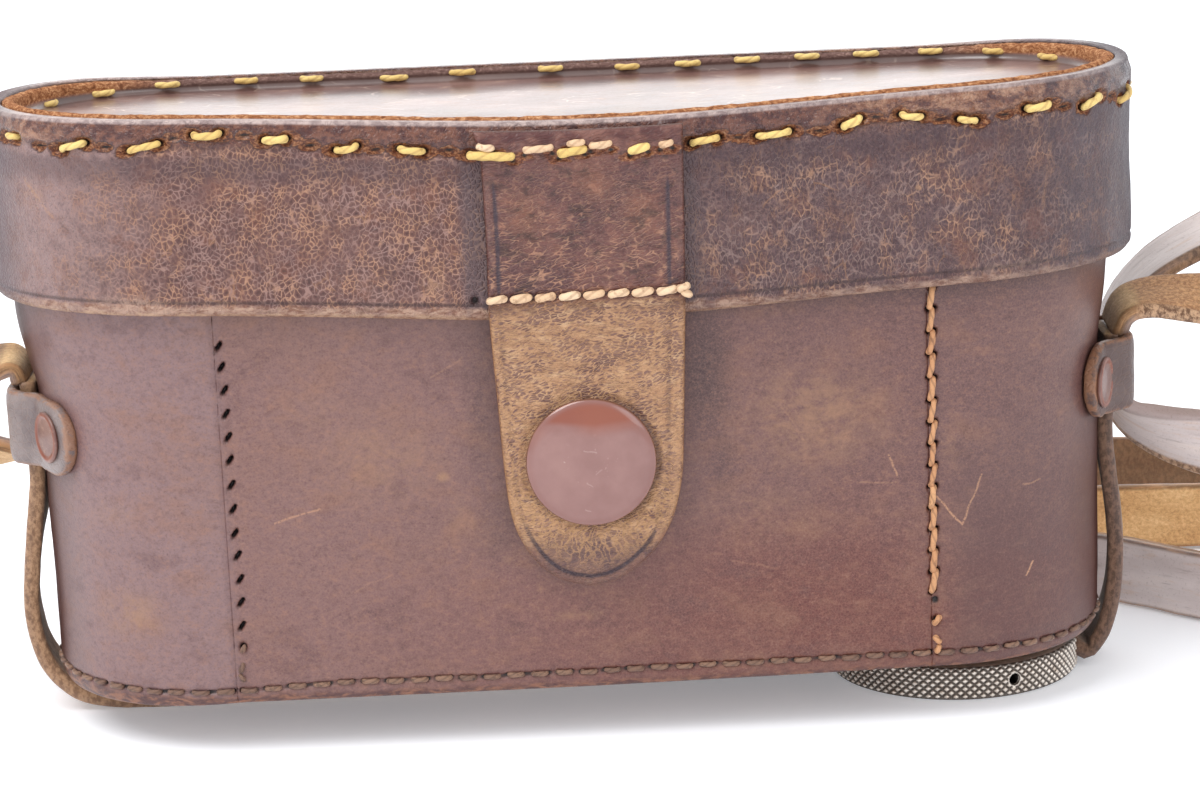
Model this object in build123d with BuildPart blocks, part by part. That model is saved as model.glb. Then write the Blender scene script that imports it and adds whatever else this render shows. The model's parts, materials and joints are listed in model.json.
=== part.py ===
from build123d import *

import os
from math import cos, sin, tan, radians, pi

# Leather camera case: box body, cap lid hinged at the back, press-stud flap,
# screw in the base and a strap slung under it.
# Millimetres, +Z up. Origin at the bottom centre: z = 0 is the surface it
# stands on, which the screw's knob and the slack left end of the sling touch.
# +X right and -Y towards the flap.

os.makedirs("parts", exist_ok=True)

# ---------------------------------------------------------------- dimensions
WALL = 2.3            # bridle leather
LINING = 0.8
GAP = 0.05            # glue line between two layers

BODY_W, BODY_D, BODY_R = 145.0, 50.5, 24.0
FLARE = 1.6           # each end of the mouth stands out by this
FLARE_Z = 48.0        # the flare starts here
MOUTH_Z = 70.0
SEAM_X = 46.5         # the two front seams

KNOB_X, KNOB_R, KNOB_H = 52.5, 17.5, 4.75
STRAP_W, STRAP_T = 10.0, 2.2
BASE_Z = 7.1          # underside of the walls: knob + strap + play

LID_W, LID_D, LID_R = 154.5, 56.5, 26.5
SKIRT_Z, RIM_Z = 59.5, 85.0
PANEL_Z = 80.4        # underside of the recessed top
PANEL_T = 2.2
FLANGE_T = 1.8
NOTCH_Z = 63.6        # the skirt is cut back to this behind
HINGE_Y, HINGE_Z = 27.6, 62.0
HINGE_W = 84.0

FLAP_X, FLAP_T = 2.1, 1.9
FLAP_TOP_W, FLAP_LOW_W, FLAP_TIP_R = 26.0, 23.0, 11.3
FLAP_TOP_Z = 60.6     # the flap folds about the outer edge of its top end
ROOT_Z = 60.75        # lower end of the fixed half
SNAP_X, SNAP_Z, CAP_R = 1.9, 39.3, 8.5

KEEP_Z_LEFT, KEEP_Z_RIGHT, KEEP_H = 41.3, 42.2, 10.0
KEEP_T = 1.8
KEEP_REACH_LEFT, KEEP_REACH_RIGHT = 19.6, 15.8
SLING_X = 74.4        # strap centre beside the ends
STRAP_TOP_Z = 47.6    # where the sling ends and the free strap begins
RIVET_ANGLE_LEFT, RIVET_ANGLE_RIGHT = 31.5, 26.0

CORD_R = 2.6          # round tube of the strap's own section area

# corner centres of the body outline
CX, CY = BODY_W / 2 - BODY_R, BODY_D / 2 - BODY_R


def radial(side, back, r, z):
    """Plane at radius r of a rounded body corner, facing outward."""
    a = radians(RIVET_ANGLE_LEFT if side < 0 else RIVET_ANGLE_RIGHT)
    return Plane(
        origin=(side * (CX + r * cos(a)), back * (CY + r * sin(a)), z),
        x_dir=(0, 0, 1),
        z_dir=(side * cos(a), back * sin(a), 0),
    )


def corner_radii(points, wanted=None, share=0.45):
    """One radius for each corner, as large as its two runs allow."""
    p = [Vector(*q) for q in points]
    out = []
    for i in range(1, len(p) - 1):
        a, b = p[i] - p[i - 1], p[i + 1] - p[i]
        turn = radians(a.get_angle(b))
        most = share * min(a.length, b.length) / tan(turn / 2)
        want = wanted[i - 1] if wanted else None
        out.append(round(min(most, want) if want else most, 3))
    return out


# ---------------------------------------------------------------------- body
with BuildPart() as walls:
    with BuildSketch(Plane.XY.offset(BASE_Z)):
        RectangleRounded(BODY_W, BODY_D, BODY_R)
    extrude(amount=FLARE_Z - BASE_Z)
    with BuildSketch(Plane.XY.offset(FLARE_Z)):
        RectangleRounded(BODY_W, BODY_D, BODY_R)
    with BuildSketch(Plane.XY.offset(MOUTH_Z)):
        RectangleRounded(BODY_W + 2 * FLARE, BODY_D, BODY_R)
    loft()
    with BuildSketch(Plane.XY.offset(BASE_Z)):
        RectangleRounded(BODY_W - 2 * WALL, BODY_D - 2 * WALL, BODY_R - WALL)
    extrude(amount=FLARE_Z - BASE_Z, mode=Mode.SUBTRACT)
    with BuildSketch(Plane.XY.offset(FLARE_Z)):
        RectangleRounded(BODY_W - 2 * WALL, BODY_D - 2 * WALL, BODY_R - WALL)
    with BuildSketch(Plane.XY.offset(MOUTH_Z)):
        RectangleRounded(BODY_W + 2 * FLARE - 2 * WALL, BODY_D - 2 * WALL, BODY_R - WALL)
    loft(mode=Mode.SUBTRACT)

# front leather between the two vertical seams
with BuildPart() as body_front_panel:
    add(walls.part)
    with BuildSketch(Plane.XY):
        with Locations((0, -BODY_D / 2)):
            Rectangle(2 * SEAM_X, 20)
    extrude(amount=100, mode=Mode.INTERSECT)
    with BuildSketch(Plane.XZ.offset(BODY_D / 2 - 5)):
        with Locations((SNAP_X, SNAP_Z)):
            Circle(1.55)
    extrude(amount=10, mode=Mode.SUBTRACT)
body_front_panel.part.label = "body_front_panel"
export_step(body_front_panel.part, "parts/body_front_panel.step")

# one piece of leather round both ends and the back
with BuildPart() as body_back_wrap:
    add(walls.part)
    with BuildSketch(Plane.XY):
        with Locations((0, -BODY_D / 2)):
            Rectangle(2 * SEAM_X, 20)
    extrude(amount=100, mode=Mode.SUBTRACT)
    for side, z in ((-1, KEEP_Z_LEFT), (1, KEEP_Z_RIGHT)):
        for back in (-1, 1):
            with BuildSketch(radial(side, back, 18, z)):
                Circle(1.25)
            extrude(amount=10, mode=Mode.SUBTRACT)
body_back_wrap.part.label = "body_back_wrap"
export_step(body_back_wrap.part, "parts/body_back_wrap.step")

# moulded base: plate with an upturned flange inside the walls
TRAY_W, TRAY_D, TRAY_R = BODY_W - 2 * WALL - 0.1, BODY_D - 2 * WALL - 0.1, BODY_R - WALL - 0.05
with BuildPart() as base_panel:
    with BuildSketch(Plane.XY.offset(BASE_Z + 0.3)):
        RectangleRounded(TRAY_W, TRAY_D, TRAY_R)
    extrude(amount=6.6)
    with BuildSketch(Plane.XY.offset(BASE_Z + 0.3 + 2.2)):
        RectangleRounded(TRAY_W - 2 * FLANGE_T, TRAY_D - 2 * FLANGE_T, TRAY_R - FLANGE_T)
    extrude(amount=10, mode=Mode.SUBTRACT)
    with BuildSketch(Plane.XY):
        with Locations((KNOB_X, 0)):
            Circle(4.65)
    extrude(amount=20, mode=Mode.SUBTRACT)
base_panel.part.label = "base_panel"
export_step(base_panel.part, "parts/base_panel.step")

with BuildPart() as base_stiffener:
    with BuildSketch(Plane.XY.offset(BASE_Z + 2.55)):
        RectangleRounded(TRAY_W - 2 * FLANGE_T - 0.1, TRAY_D - 2 * FLANGE_T - 0.1, TRAY_R - FLANGE_T - 0.05)
        with Locations((KNOB_X, 0)):
            Circle(4.65, mode=Mode.SUBTRACT)
    extrude(amount=1.5)
base_stiffener.part.label = "base_stiffener"
export_step(base_stiffener.part, "parts/base_stiffener.step")

with BuildPart() as base_lining:
    with BuildSketch(Plane.XY.offset(BASE_Z + 4.1)):
        RectangleRounded(TRAY_W - 2 * FLANGE_T - 0.1, TRAY_D - 2 * FLANGE_T - 0.1, TRAY_R - FLANGE_T - 0.05)
        with Locations((KNOB_X, 0)):
            Circle(4.65, mode=Mode.SUBTRACT)
    extrude(amount=LINING)
base_lining.part.label = "base_lining"
export_step(base_lining.part, "parts/base_lining.step")

# thin lining on the inside of the walls, from the flange to the mouth
LIN_Z0, LIN_Z1 = BASE_Z + 7.0, MOUTH_Z - 0.4
with BuildPart() as body_lining:
    with BuildSketch(Plane.XY.offset(LIN_Z0)):
        RectangleRounded(TRAY_W, TRAY_D, TRAY_R)
    extrude(amount=FLARE_Z - LIN_Z0)
    with BuildSketch(Plane.XY.offset(FLARE_Z)):
        RectangleRounded(TRAY_W, TRAY_D, TRAY_R)
    with BuildSketch(Plane.XY.offset(LIN_Z1)):
        RectangleRounded(TRAY_W + 2 * FLARE - 0.1, TRAY_D, TRAY_R)
    loft()
    with BuildSketch(Plane.XY.offset(LIN_Z0)):
        RectangleRounded(TRAY_W - 2 * LINING, TRAY_D - 2 * LINING, TRAY_R - LINING)
    extrude(amount=FLARE_Z - LIN_Z0, mode=Mode.SUBTRACT)
    with BuildSketch(Plane.XY.offset(FLARE_Z)):
        RectangleRounded(TRAY_W - 2 * LINING, TRAY_D - 2 * LINING, TRAY_R - LINING)
    with BuildSketch(Plane.XY.offset(LIN_Z1)):
        RectangleRounded(TRAY_W + 2 * FLARE - 0.1 - 2 * LINING, TRAY_D - 2 * LINING, TRAY_R - LINING)
    loft(mode=Mode.SUBTRACT)
    with BuildSketch(Plane.XZ.offset(BODY_D / 2 - 5)):
        with Locations((SNAP_X, SNAP_Z)):
            Circle(1.55)
    extrude(amount=10, mode=Mode.SUBTRACT)
    for side, z in ((-1, KEEP_Z_LEFT), (1, KEEP_Z_RIGHT)):
        for back in (-1, 1):
            with BuildSketch(radial(side, back, 16, z)):
                Circle(1.25)
            extrude(amount=12, mode=Mode.SUBTRACT)
body_lining.part.label = "body_lining"
export_step(body_lining.part, "parts/body_lining.step")

# stitch courses
with BuildPart() as base_thread:
    with BuildSketch(Plane.XY.offset(BASE_Z + 1.7)):
        RectangleRounded(BODY_W + 0.9, BODY_D + 0.9, BODY_R + 0.45)
        RectangleRounded(BODY_W + 0.04, BODY_D + 0.04, BODY_R + 0.02, mode=Mode.SUBTRACT)
    extrude(amount=0.6)
base_thread.part.label = "base_thread"
export_step(base_thread.part, "parts/base_thread.step")

with BuildPart() as left_seam_thread:
    with BuildSketch(Plane.XZ.offset(BODY_D / 2 + 0.02)):
        with Locations((-SEAM_X, 12.6)):
            Rectangle(0.7, 5.4)
    extrude(amount=0.4)
left_seam_thread.part.label = "left_seam_thread"
export_step(left_seam_thread.part, "parts/left_seam_thread.step")

with BuildPart() as right_seam_thread:
    with BuildSketch(Plane.XZ.offset(BODY_D / 2 + 0.02)):
        with Locations((SEAM_X, 34.4)):
            Rectangle(0.7, 49.0)
    extrude(amount=0.4)
right_seam_thread.part.label = "right_seam_thread"
export_step(right_seam_thread.part, "parts/right_seam_thread.step")

# ------------------------------------------------------------- strap keepers
with BuildPart() as keeper_left:
    with BuildSketch(Plane.XY.offset(KEEP_Z_LEFT - KEEP_H / 2)):
        RectangleRounded(BODY_W + 2 * KEEP_T + 0.1, BODY_D + 2 * KEEP_T + 0.1, BODY_R + KEEP_T + 0.05)
        with Locations((-(60 + 77.45) / 2, 0)):
            Rectangle(17.45, 14.8)
        RectangleRounded(BODY_W + 0.1, BODY_D + 0.1, BODY_R + 0.05, mode=Mode.SUBTRACT)
        with Locations((-(60 + 75.65) / 2, 0)):
            Rectangle(15.65, STRAP_W + 1.0, mode=Mode.SUBTRACT)
    extrude(amount=KEEP_H)
    with BuildSketch(Plane.YZ.offset(-90)):
        with Locations((0, KEEP_Z_LEFT)):
            RectangleRounded(2 * KEEP_REACH_LEFT, KEEP_H, 4.0)
    extrude(amount=40, mode=Mode.INTERSECT)
    for back in (-1, 1):
        with BuildSketch(radial(-1, back, 18, KEEP_Z_LEFT)):
            Circle(1.25)
        extrude(amount=12, mode=Mode.SUBTRACT)
keeper_left.part.label = "keeper_left"
export_step(keeper_left.part, "parts/keeper_left.step")

with BuildPart() as keeper_right:
    with BuildSketch(Plane.XY.offset(KEEP_Z_RIGHT - KEEP_H / 2)):
        RectangleRounded(BODY_W + 2 * KEEP_T + 0.1, BODY_D + 2 * KEEP_T + 0.1, BODY_R + KEEP_T + 0.05)
        with Locations(((60 + 77.45) / 2, 0)):
            Rectangle(17.45, 14.8)
        RectangleRounded(BODY_W + 0.1, BODY_D + 0.1, BODY_R + 0.05, mode=Mode.SUBTRACT)
        with Locations(((60 + 75.65) / 2, 0)):
            Rectangle(15.65, STRAP_W + 1.0, mode=Mode.SUBTRACT)
    extrude(amount=KEEP_H)
    with BuildSketch(Plane.YZ.offset(50)):
        with Locations((0, KEEP_Z_RIGHT)):
            RectangleRounded(2 * KEEP_REACH_RIGHT, KEEP_H, 4.0)
    extrude(amount=40, mode=Mode.INTERSECT)
    for back in (-1, 1):
        with BuildSketch(radial(1, back, 18, KEEP_Z_RIGHT)):
            Circle(1.25)
        extrude(amount=12, mode=Mode.SUBTRACT)
keeper_right.part.label = "keeper_right"
export_step(keeper_right.part, "parts/keeper_right.step")

# rivets: head outside the keeper, shank through the wall, burr inside
with BuildPart() as keeper_rivets_left:
    for back in (-1, 1):
        with BuildSketch(radial(-1, back, 20.1, KEEP_Z_LEFT)):
            Circle(2.4)
        extrude(amount=0.5)
        with BuildSketch(radial(-1, back, 20.1, KEEP_Z_LEFT)):
            Circle(1.2)
        extrude(amount=6.0)
        with BuildSketch(radial(-1, back, BODY_R + KEEP_T + 0.08, KEEP_Z_LEFT)):
            Circle(2.7)
        extrude(amount=0.75)
keeper_rivets_left.part.label = "keeper_rivets_left"
export_step(keeper_rivets_left.part, "parts/keeper_rivets_left.step")

with BuildPart() as keeper_rivets_right:
    for back in (-1, 1):
        with BuildSketch(radial(1, back, 20.1, KEEP_Z_RIGHT)):
            Circle(2.4)
        extrude(amount=0.5)
        with BuildSketch(radial(1, back, 20.1, KEEP_Z_RIGHT)):
            Circle(1.2)
        extrude(amount=6.0)
        with BuildSketch(radial(1, back, BODY_R + KEEP_T + 0.08, KEEP_Z_RIGHT)):
            Circle(2.7)
        extrude(amount=0.75)
keeper_rivets_right.part.label = "keeper_rivets_right"
export_step(keeper_rivets_right.part, "parts/keeper_rivets_right.step")

# -------------------------------------------------------------- tripod screw
with BuildPart() as tripod_bush:
    with BuildSketch(Plane.XY.offset(BASE_Z + 0.35)):
        with Locations((KNOB_X, 0)):
            Circle(4.6)
    extrude(amount=4.65)
    with BuildSketch(Plane.XY.offset(BASE_Z + 5.0)):
        with Locations((KNOB_X, 0)):
            Circle(6.5)
    extrude(amount=0.6)
    with BuildSketch(Plane.XY):
        with Locations((KNOB_X, 0)):
            Circle(3.18)
    extrude(amount=30, mode=Mode.SUBTRACT)
tripod_bush.part.label = "tripod_bush"
export_step(tripod_bush.part, "parts/tripod_bush.step")

with BuildPart() as tripod_knob:
    with BuildSketch(Plane.XY):
        with Locations((KNOB_X, 0)):
            Circle(KNOB_R)
    extrude(amount=KNOB_H)
    chamfer(tripod_knob.edges().filter_by(GeomType.CIRCLE), length=0.35)
    with BuildSketch(Plane.XY.offset(1.5)):
        with Locations((KNOB_X, 0)):
            Circle(3.12)
    extrude(amount=10, mode=Mode.SUBTRACT)
    # two cross holes in the rim for a tommy bar
    for turn in (-61.5, 118.5):
        a = radians(turn)
        with BuildSketch(Plane(origin=(KNOB_X + 12 * cos(a), 12 * sin(a), KNOB_H / 2), z_dir=(cos(a), sin(a), 0))):
            Circle(0.6)
        extrude(amount=8, mode=Mode.SUBTRACT)
tripod_knob.part.label = "tripod_knob"
export_step(tripod_knob.part, "parts/tripod_knob.step")

SCREW_TOP = 18.5
with BuildPart() as tripod_stud:
    with BuildSketch(Plane.XY.offset(1.5)):
        with Locations((KNOB_X, 0)):
            Circle(3.1)
    extrude(amount=SCREW_TOP - 1.5)
    with BuildSketch(Plane.XY.offset(BASE_Z + 5.75)):
        with Locations((KNOB_X, 0)):
            Circle(4)
            Circle(2.7, mode=Mode.SUBTRACT)
    extrude(amount=0.6, mode=Mode.SUBTRACT)
tripod_stud.part.label = "tripod_stud"
export_step(tripod_stud.part, "parts/tripod_stud.step")

with BuildPart() as tripod_retaining_ring:
    with BuildSketch(Plane.XY.offset(BASE_Z + 5.8)):
        with Locations((KNOB_X, 0)):
            Circle(4.6)
            Circle(2.75, mode=Mode.SUBTRACT)
        with Locations((KNOB_X + 4, 0)):
            Rectangle(5, 3.0, mode=Mode.SUBTRACT)
    extrude(amount=0.5)
tripod_retaining_ring.part.label = "tripod_retaining_ring"
export_step(tripod_retaining_ring.part, "parts/tripod_retaining_ring.step")

# ----------------------------------------------------------------------- lid
with BuildPart() as lid_band:
    with BuildSketch(Plane.XY.offset(SKIRT_Z)):
        RectangleRounded(LID_W, LID_D, LID_R)
        RectangleRounded(LID_W - 2 * WALL, LID_D - 2 * WALL, LID_R - WALL, mode=Mode.SUBTRACT)
    extrude(amount=RIM_Z - SKIRT_Z)
    # cut back behind, so that it swings clear of the body
    with BuildSketch(Plane.XZ.offset(-35)):
        with BuildLine():
            Polyline((-62, SKIRT_Z - 1), (-57, NOTCH_Z), (57, NOTCH_Z), (62, SKIRT_Z - 1), (-62, SKIRT_Z - 1))
        make_face()
    extrude(amount=15, mode=Mode.SUBTRACT)
lid_band.part.label = "lid_band"
export_step(lid_band.part, "parts/lid_band.step")

IN_W, IN_D, IN_R = LID_W - 2 * WALL - 0.1, LID_D - 2 * WALL - 0.1, LID_R - WALL - 0.05
with BuildPart() as lid_top_panel:
    with BuildSketch(Plane.XY.offset(PANEL_Z)):
        RectangleRounded(IN_W, IN_D, IN_R)
    extrude(amount=RIM_Z - 0.2 - PANEL_Z)
    with BuildSketch(Plane.XY.offset(PANEL_Z + PANEL_T)):
        RectangleRounded(IN_W - 2 * FLANGE_T, IN_D - 2 * FLANGE_T, IN_R - FLANGE_T)
    extrude(amount=10, mode=Mode.SUBTRACT)
lid_top_panel.part.label = "lid_top_panel"
export_step(lid_top_panel.part, "parts/lid_top_panel.step")

with BuildPart() as lid_lining:
    with BuildSketch(Plane.XY.offset(MOUTH_Z + 0.8)):
        RectangleRounded(IN_W - 0.1, IN_D - 0.1, IN_R - 0.05)
    extrude(amount=PANEL_Z - 0.1 - MOUTH_Z - 0.8)
    with BuildSketch(Plane.XY.offset(MOUTH_Z + 0.8)):
        RectangleRounded(IN_W - 0.1 - 2 * LINING, IN_D - 0.1 - 2 * LINING, IN_R - 0.05 - LINING)
    extrude(amount=PANEL_Z - 0.1 - LINING - MOUTH_Z - 0.8, mode=Mode.SUBTRACT)
lid_lining.part.label = "lid_lining"
export_step(lid_lining.part, "parts/lid_lining.step")

with BuildPart() as lid_rim_thread:
    with BuildSketch(Plane.XY.offset(81.2)):
        RectangleRounded(LID_W + 1.0, LID_D + 1.0, LID_R + 0.5)
        RectangleRounded(LID_W + 0.04, LID_D + 0.04, LID_R + 0.02, mode=Mode.SUBTRACT)
        with Locations((FLAP_X, -LID_D / 2)):
            Rectangle(FLAP_TOP_W + 1.0, 10, mode=Mode.SUBTRACT)
    extrude(amount=0.8)
lid_rim_thread.part.label = "lid_rim_thread"
export_step(lid_rim_thread.part, "parts/lid_rim_thread.step")

# --------------------------------------------------------------------- hinge
# leather strip at the back: lower leaf with the fold, on the body
with BuildPart() as hinge_body_leaf:
    with BuildSketch(Plane.YZ.offset(-HINGE_W / 2)):
        with Locations(((BODY_D / 2 + 0.02 + 0.75), (47 + 59) / 2)):
            Rectangle(1.5, 12)
        with BuildLine():
            Polyline((25.27, 58.5), (26.77, 58.5), (28.35, 61.2), (27.0, 62.9), (25.6, 61.0), (25.27, 58.5))
        make_face()
        with Locations((HINGE_Y, HINGE_Z)):
            Circle(1.1)
    extrude(amount=HINGE_W)
hinge_body_leaf.part.label = "hinge_body_leaf"
export_step(hinge_body_leaf.part, "parts/hinge_body_leaf.step")

with BuildPart() as hinge_lid_leaf:
    with BuildSketch(Plane.XY.offset(NOTCH_Z + 0.1)):
        with Locations((0, LID_D / 2 + 0.02 + 1.05)):
            Rectangle(HINGE_W, 2.1)
    extrude(amount=11.8)
hinge_lid_leaf.part.label = "hinge_lid_leaf"
export_step(hinge_lid_leaf.part, "parts/hinge_lid_leaf.step")

with BuildPart() as hinge_body_thread:
    with BuildSketch(Plane.XZ.offset(-27.2)):
        with Locations((0, 49.0), (0, 56.5)):
            Rectangle(HINGE_W - 5, 0.8)
    extrude(amount=0.41)
hinge_body_thread.part.label = "hinge_body_thread"
export_step(hinge_body_thread.part, "parts/hinge_body_thread.step")

with BuildPart() as hinge_lid_thread:
    with BuildSketch(Plane.XZ.offset(-30.8)):
        with Locations((0, 66.5), (0, 73.5)):
            Rectangle(HINGE_W - 5, 0.8)
    extrude(amount=0.41)
hinge_lid_thread.part.label = "hinge_lid_thread"
export_step(hinge_lid_thread.part, "parts/hinge_lid_thread.step")

# ---------------------------------------------------------------------- flap
with BuildPart() as flap_root:
    with BuildSketch(Plane.XZ.offset(LID_D / 2 + 0.02)):
        with Locations((FLAP_X, (ROOT_Z + 84.3) / 2)):
            Rectangle(FLAP_TOP_W, 84.3 - ROOT_Z)
    extrude(amount=FLAP_T)
flap_root.part.label = "flap_root"
export_step(flap_root.part, "parts/flap_root.step")

with BuildPart() as flap_thread:
    with BuildSketch(Plane.XZ.offset(LID_D / 2 + 0.04 + FLAP_T)):
        with Locations((FLAP_X, 61.75), (FLAP_X, 81.6)):
            Rectangle(FLAP_TOP_W - 1.5, 0.9)
    extrude(amount=0.4)
flap_thread.part.label = "flap_thread"
export_step(flap_thread.part, "parts/flap_thread.step")

with BuildPart() as closure_flap:
    with BuildSketch(Plane.YZ):
        with BuildLine():
            Polyline(
                (-28.27, FLAP_TOP_Z), (-28.27, 58.6), (-27.0, 51.0), (-27.0, 30.0), (-26.0, 20.0),
                (-27.9, 20.0), (-28.9, 30.0), (-28.9, 51.0), (-30.17, 58.6), (-30.17, FLAP_TOP_Z),
                (-28.27, FLAP_TOP_Z),
            )
        make_face()
    extrude(amount=25, both=True)
    with BuildSketch(Plane.XZ):
        with BuildLine():
            Polyline(
                (FLAP_X - 12.7, 61.5), (FLAP_X + 12.7, 61.5), (FLAP_X + FLAP_TIP_R, 32.4),
                (FLAP_X - FLAP_TIP_R, 32.4), (FLAP_X - 12.7, 61.5),
            )
        make_face()
        with Locations((FLAP_X, 32.4)):
            Circle(FLAP_TIP_R)
    extrude(amount=60, both=True, mode=Mode.INTERSECT)
    with BuildSketch(Plane.XZ.offset(20)):
        with Locations((SNAP_X, SNAP_Z)):
            Circle(4.0)
    extrude(amount=20, mode=Mode.SUBTRACT)
closure_flap.part.label = "closure_flap"
export_step(closure_flap.part, "parts/closure_flap.step")

# enamelled cap on the outside of the flap
with BuildPart() as snap_cap:
    with BuildSketch(Plane.XZ.offset(28.92)):
        with Locations((SNAP_X, SNAP_Z)):
            Circle(CAP_R)
    extrude(amount=1.88)
    fillet(snap_cap.edges().filter_by(GeomType.CIRCLE).sort_by(Axis.Y)[0], radius=1.3)
snap_cap.part.label = "snap_cap"
export_step(snap_cap.part, "parts/snap_cap.step")

# female half inside the flap: tube through the leather and inner flange
with BuildPart() as snap_socket:
    with BuildSketch(Plane.XZ.offset(25.95)):
        with Locations((SNAP_X, SNAP_Z)):
            Circle(6.0)
    extrude(amount=1.03)
    with BuildSketch(Plane.XZ.offset(26.9)):
        with Locations((SNAP_X, SNAP_Z)):
            Circle(3.9)
    extrude(amount=2.0)
    with BuildSketch(Plane.XZ.offset(25.9)):
        with Locations((SNAP_X, SNAP_Z)):
            Circle(3.0)
    extrude(amount=2.3, mode=Mode.SUBTRACT)
    with BuildSketch(Plane.XZ.offset(26.4)):
        with Locations((SNAP_X, SNAP_Z)):
            Circle(3.5)
    extrude(amount=0.5, mode=Mode.SUBTRACT)
snap_socket.part.label = "snap_socket"
export_step(snap_socket.part, "parts/snap_socket.step")

with BuildPart() as snap_spring:
    with BuildSketch(Plane.XZ.offset(26.45)):
        with Locations((SNAP_X, SNAP_Z)):
            Circle(3.45)
            Circle(2.95, mode=Mode.SUBTRACT)
        with Locations((SNAP_X, SNAP_Z - 3)):
            Rectangle(1.2, 3.0, mode=Mode.SUBTRACT)
    extrude(amount=0.4)
snap_spring.part.label = "snap_spring"
export_step(snap_spring.part, "parts/snap_spring.step")

# male half on the front panel
with BuildPart() as snap_stud:
    with BuildSketch(Plane.XZ.offset(21.3)):
        with Locations((SNAP_X, SNAP_Z)):
            Circle(1.5)
    extrude(amount=4.2)
    with BuildSketch(Plane.XZ.offset(25.27)):
        with Locations((SNAP_X, SNAP_Z)):
            Circle(5.5)
    extrude(amount=0.45)
    with BuildSketch(Plane.XZ.offset(25.6)):
        with Locations((SNAP_X, SNAP_Z)):
            Circle(2.1)
    extrude(amount=1.2)
    with BuildSketch(Plane.XZ.offset(26.7)):
        with Locations((SNAP_X, SNAP_Z)):
            Circle(2.5)
    extrude(amount=1.0)
snap_stud.part.label = "snap_stud"
export_step(snap_stud.part, "parts/snap_stud.step")

with BuildPart() as snap_stud_backplate:
    with BuildSketch(Plane.XZ.offset(21.5)):
        with Locations((SNAP_X, SNAP_Z)):
            Circle(5.0)
            Circle(1.53, mode=Mode.SUBTRACT)
    extrude(amount=0.5)
snap_stud_backplate.part.label = "snap_stud_backplate"
export_step(snap_stud_backplate.part, "parts/snap_stud_backplate.step")

# --------------------------------------------------------------------- strap
# held stretch: down the left end, slack on the surface, up between base and
# knob, and up the right end (x, z of its middle line)
SLING = [
    (-SLING_X, STRAP_TOP_Z), (-SLING_X, 32.8), (-77.75, 23.5), (-77.6, 13.0), (-73.6, 3.4), (-66.5, 1.1),
    (-55.0, 1.1), (33.0, 5.94), (71.0, 5.94), (75.0, 2.9), (77.6, 9.5), (77.75, 18.0), (77.3, 26.0),
    (SLING_X, 33.4), (SLING_X, STRAP_TOP_Z),
]
SLING_RADII = corner_radii(
    [(x, z, 0) for x, z in SLING], [8, 14, 14, 8, 8, 60, 60, 2.6, 1.8, 12, 20, 14, 8]
)
with BuildPart() as strap_sling:
    with BuildSketch(Plane.XZ):
        with BuildLine():
            FilletPolyline(*SLING, radius=SLING_RADII)
        trace(line_width=STRAP_T)
    extrude(amount=STRAP_W / 2, both=True)
    with BuildSketch(Plane.XY):
        with Locations((KNOB_X, 0)):
            Circle(3.5)
    extrude(amount=10, mode=Mode.SUBTRACT)
strap_sling.part.label = "strap_sling"
export_step(strap_sling.part, "parts/strap_sling.step")

# free stretch, from the right keeper to the left one: two standing loops at
# the right, a bight behind the case, and one loop at the left
ROUTE = [
    (75.6, 0.0, 47.6), (75.8, 0.0, 51.5), (79.3, -0.4, 53.2), (88.0, -1.0, 51.6), (102.0, -3.5, 50.5),
    (116.5, -7.0, 50.5), (130.5, -7.7, 52.0), (144.0, -5.3, 55.5), (152.8, 5.2, 60.0), (152.8, 18.8, 65.0),
    (144.0, 29.3, 69.0), (130.5, 31.7, 71.0), (115.5, 27.0, 70.5), (102.0, 19.5, 66.0), (90.5, 15.0, 57.0),
    (82.3, 14.0, 50.0), (76.9, 14.2, 44.6), (76.9, 14.2, 37.0), (83.5, 13.4, 31.2), (98.5, 11.0, 25.5),
    (113.5, 8.7, 22.0), (127.0, 9.5, 19.5), (137.0, 17.0, 17.0), (138.5, 29.0, 13.5), (131.0, 39.5, 10.0),
    (117.5, 45.5, 7.0), (102.0, 47.5, 5.2), (82.0, 48.5, 5.2), (62.0, 48.5, 5.2), (42.0, 49.0, 5.2),
    (24.0, 53.0, 5.2), (9.0, 53.5, 5.2), (0.5, 44.5, 5.2), (9.5, 35.5, 5.2), (26.0, 33.5, 5.2),
    (44.0, 33.0, 5.2), (60.0, 32.5, 5.2), (73.5, 30.0, 5.2), (83.0, 22.5, 5.2), (92.5, 12.0, 5.2),
    (106.0, 3.0, 5.2), (122.0, -2.5, 5.2), (138.5, 0.5, 5.2), (150.0, 12.0, 5.2), (152.5, 28.0, 5.2),
    (147.0, 43.5, 5.2), (134.5, 55.0, 5.2), (118.0, 60.5, 5.2), (98.0, 62.0, 5.2), (76.0, 62.5, 5.2),
    (54.0, 66.0, 5.2), (32.0, 71.5, 5.2), (10.0, 73.5, 5.2), (-14.0, 71.5, 5.2), (-37.0, 62.0, 6.0),
    (-54.5, 48.5, 13.5), (-68.0, 34.5, 24.5), (-81.0, 27.5, 30.0), (-93.0, 29.0, 30.5), (-104.0, 31.0, 30.5),
    (-115.3, 29.5, 31.5), (-122.0, 20.3, 33.0), (-122.0, 7.7, 35.5), (-115.3, -2.0, 38.5), (-105.8, -4.2, 42.0),
    (-95.5, -3.0, 46.0), (-86.0, -1.0, 50.3), (-79.5, -0.4, 53.0), (-75.8, 0.0, 51.5), (-75.6, 0.0, 47.6),
]
ROUTE_RADII = corner_radii(ROUTE)
with BuildPart() as strap_free:
    with BuildLine() as route:
        FilletPolyline(*ROUTE, radius=ROUTE_RADII)
    with BuildSketch(Plane(origin=ROUTE[0], z_dir=Vector(*ROUTE[1]) - Vector(*ROUTE[0]))):
        Circle(CORD_R)
    sweep()
strap_free.part.label = "strap_free"
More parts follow.
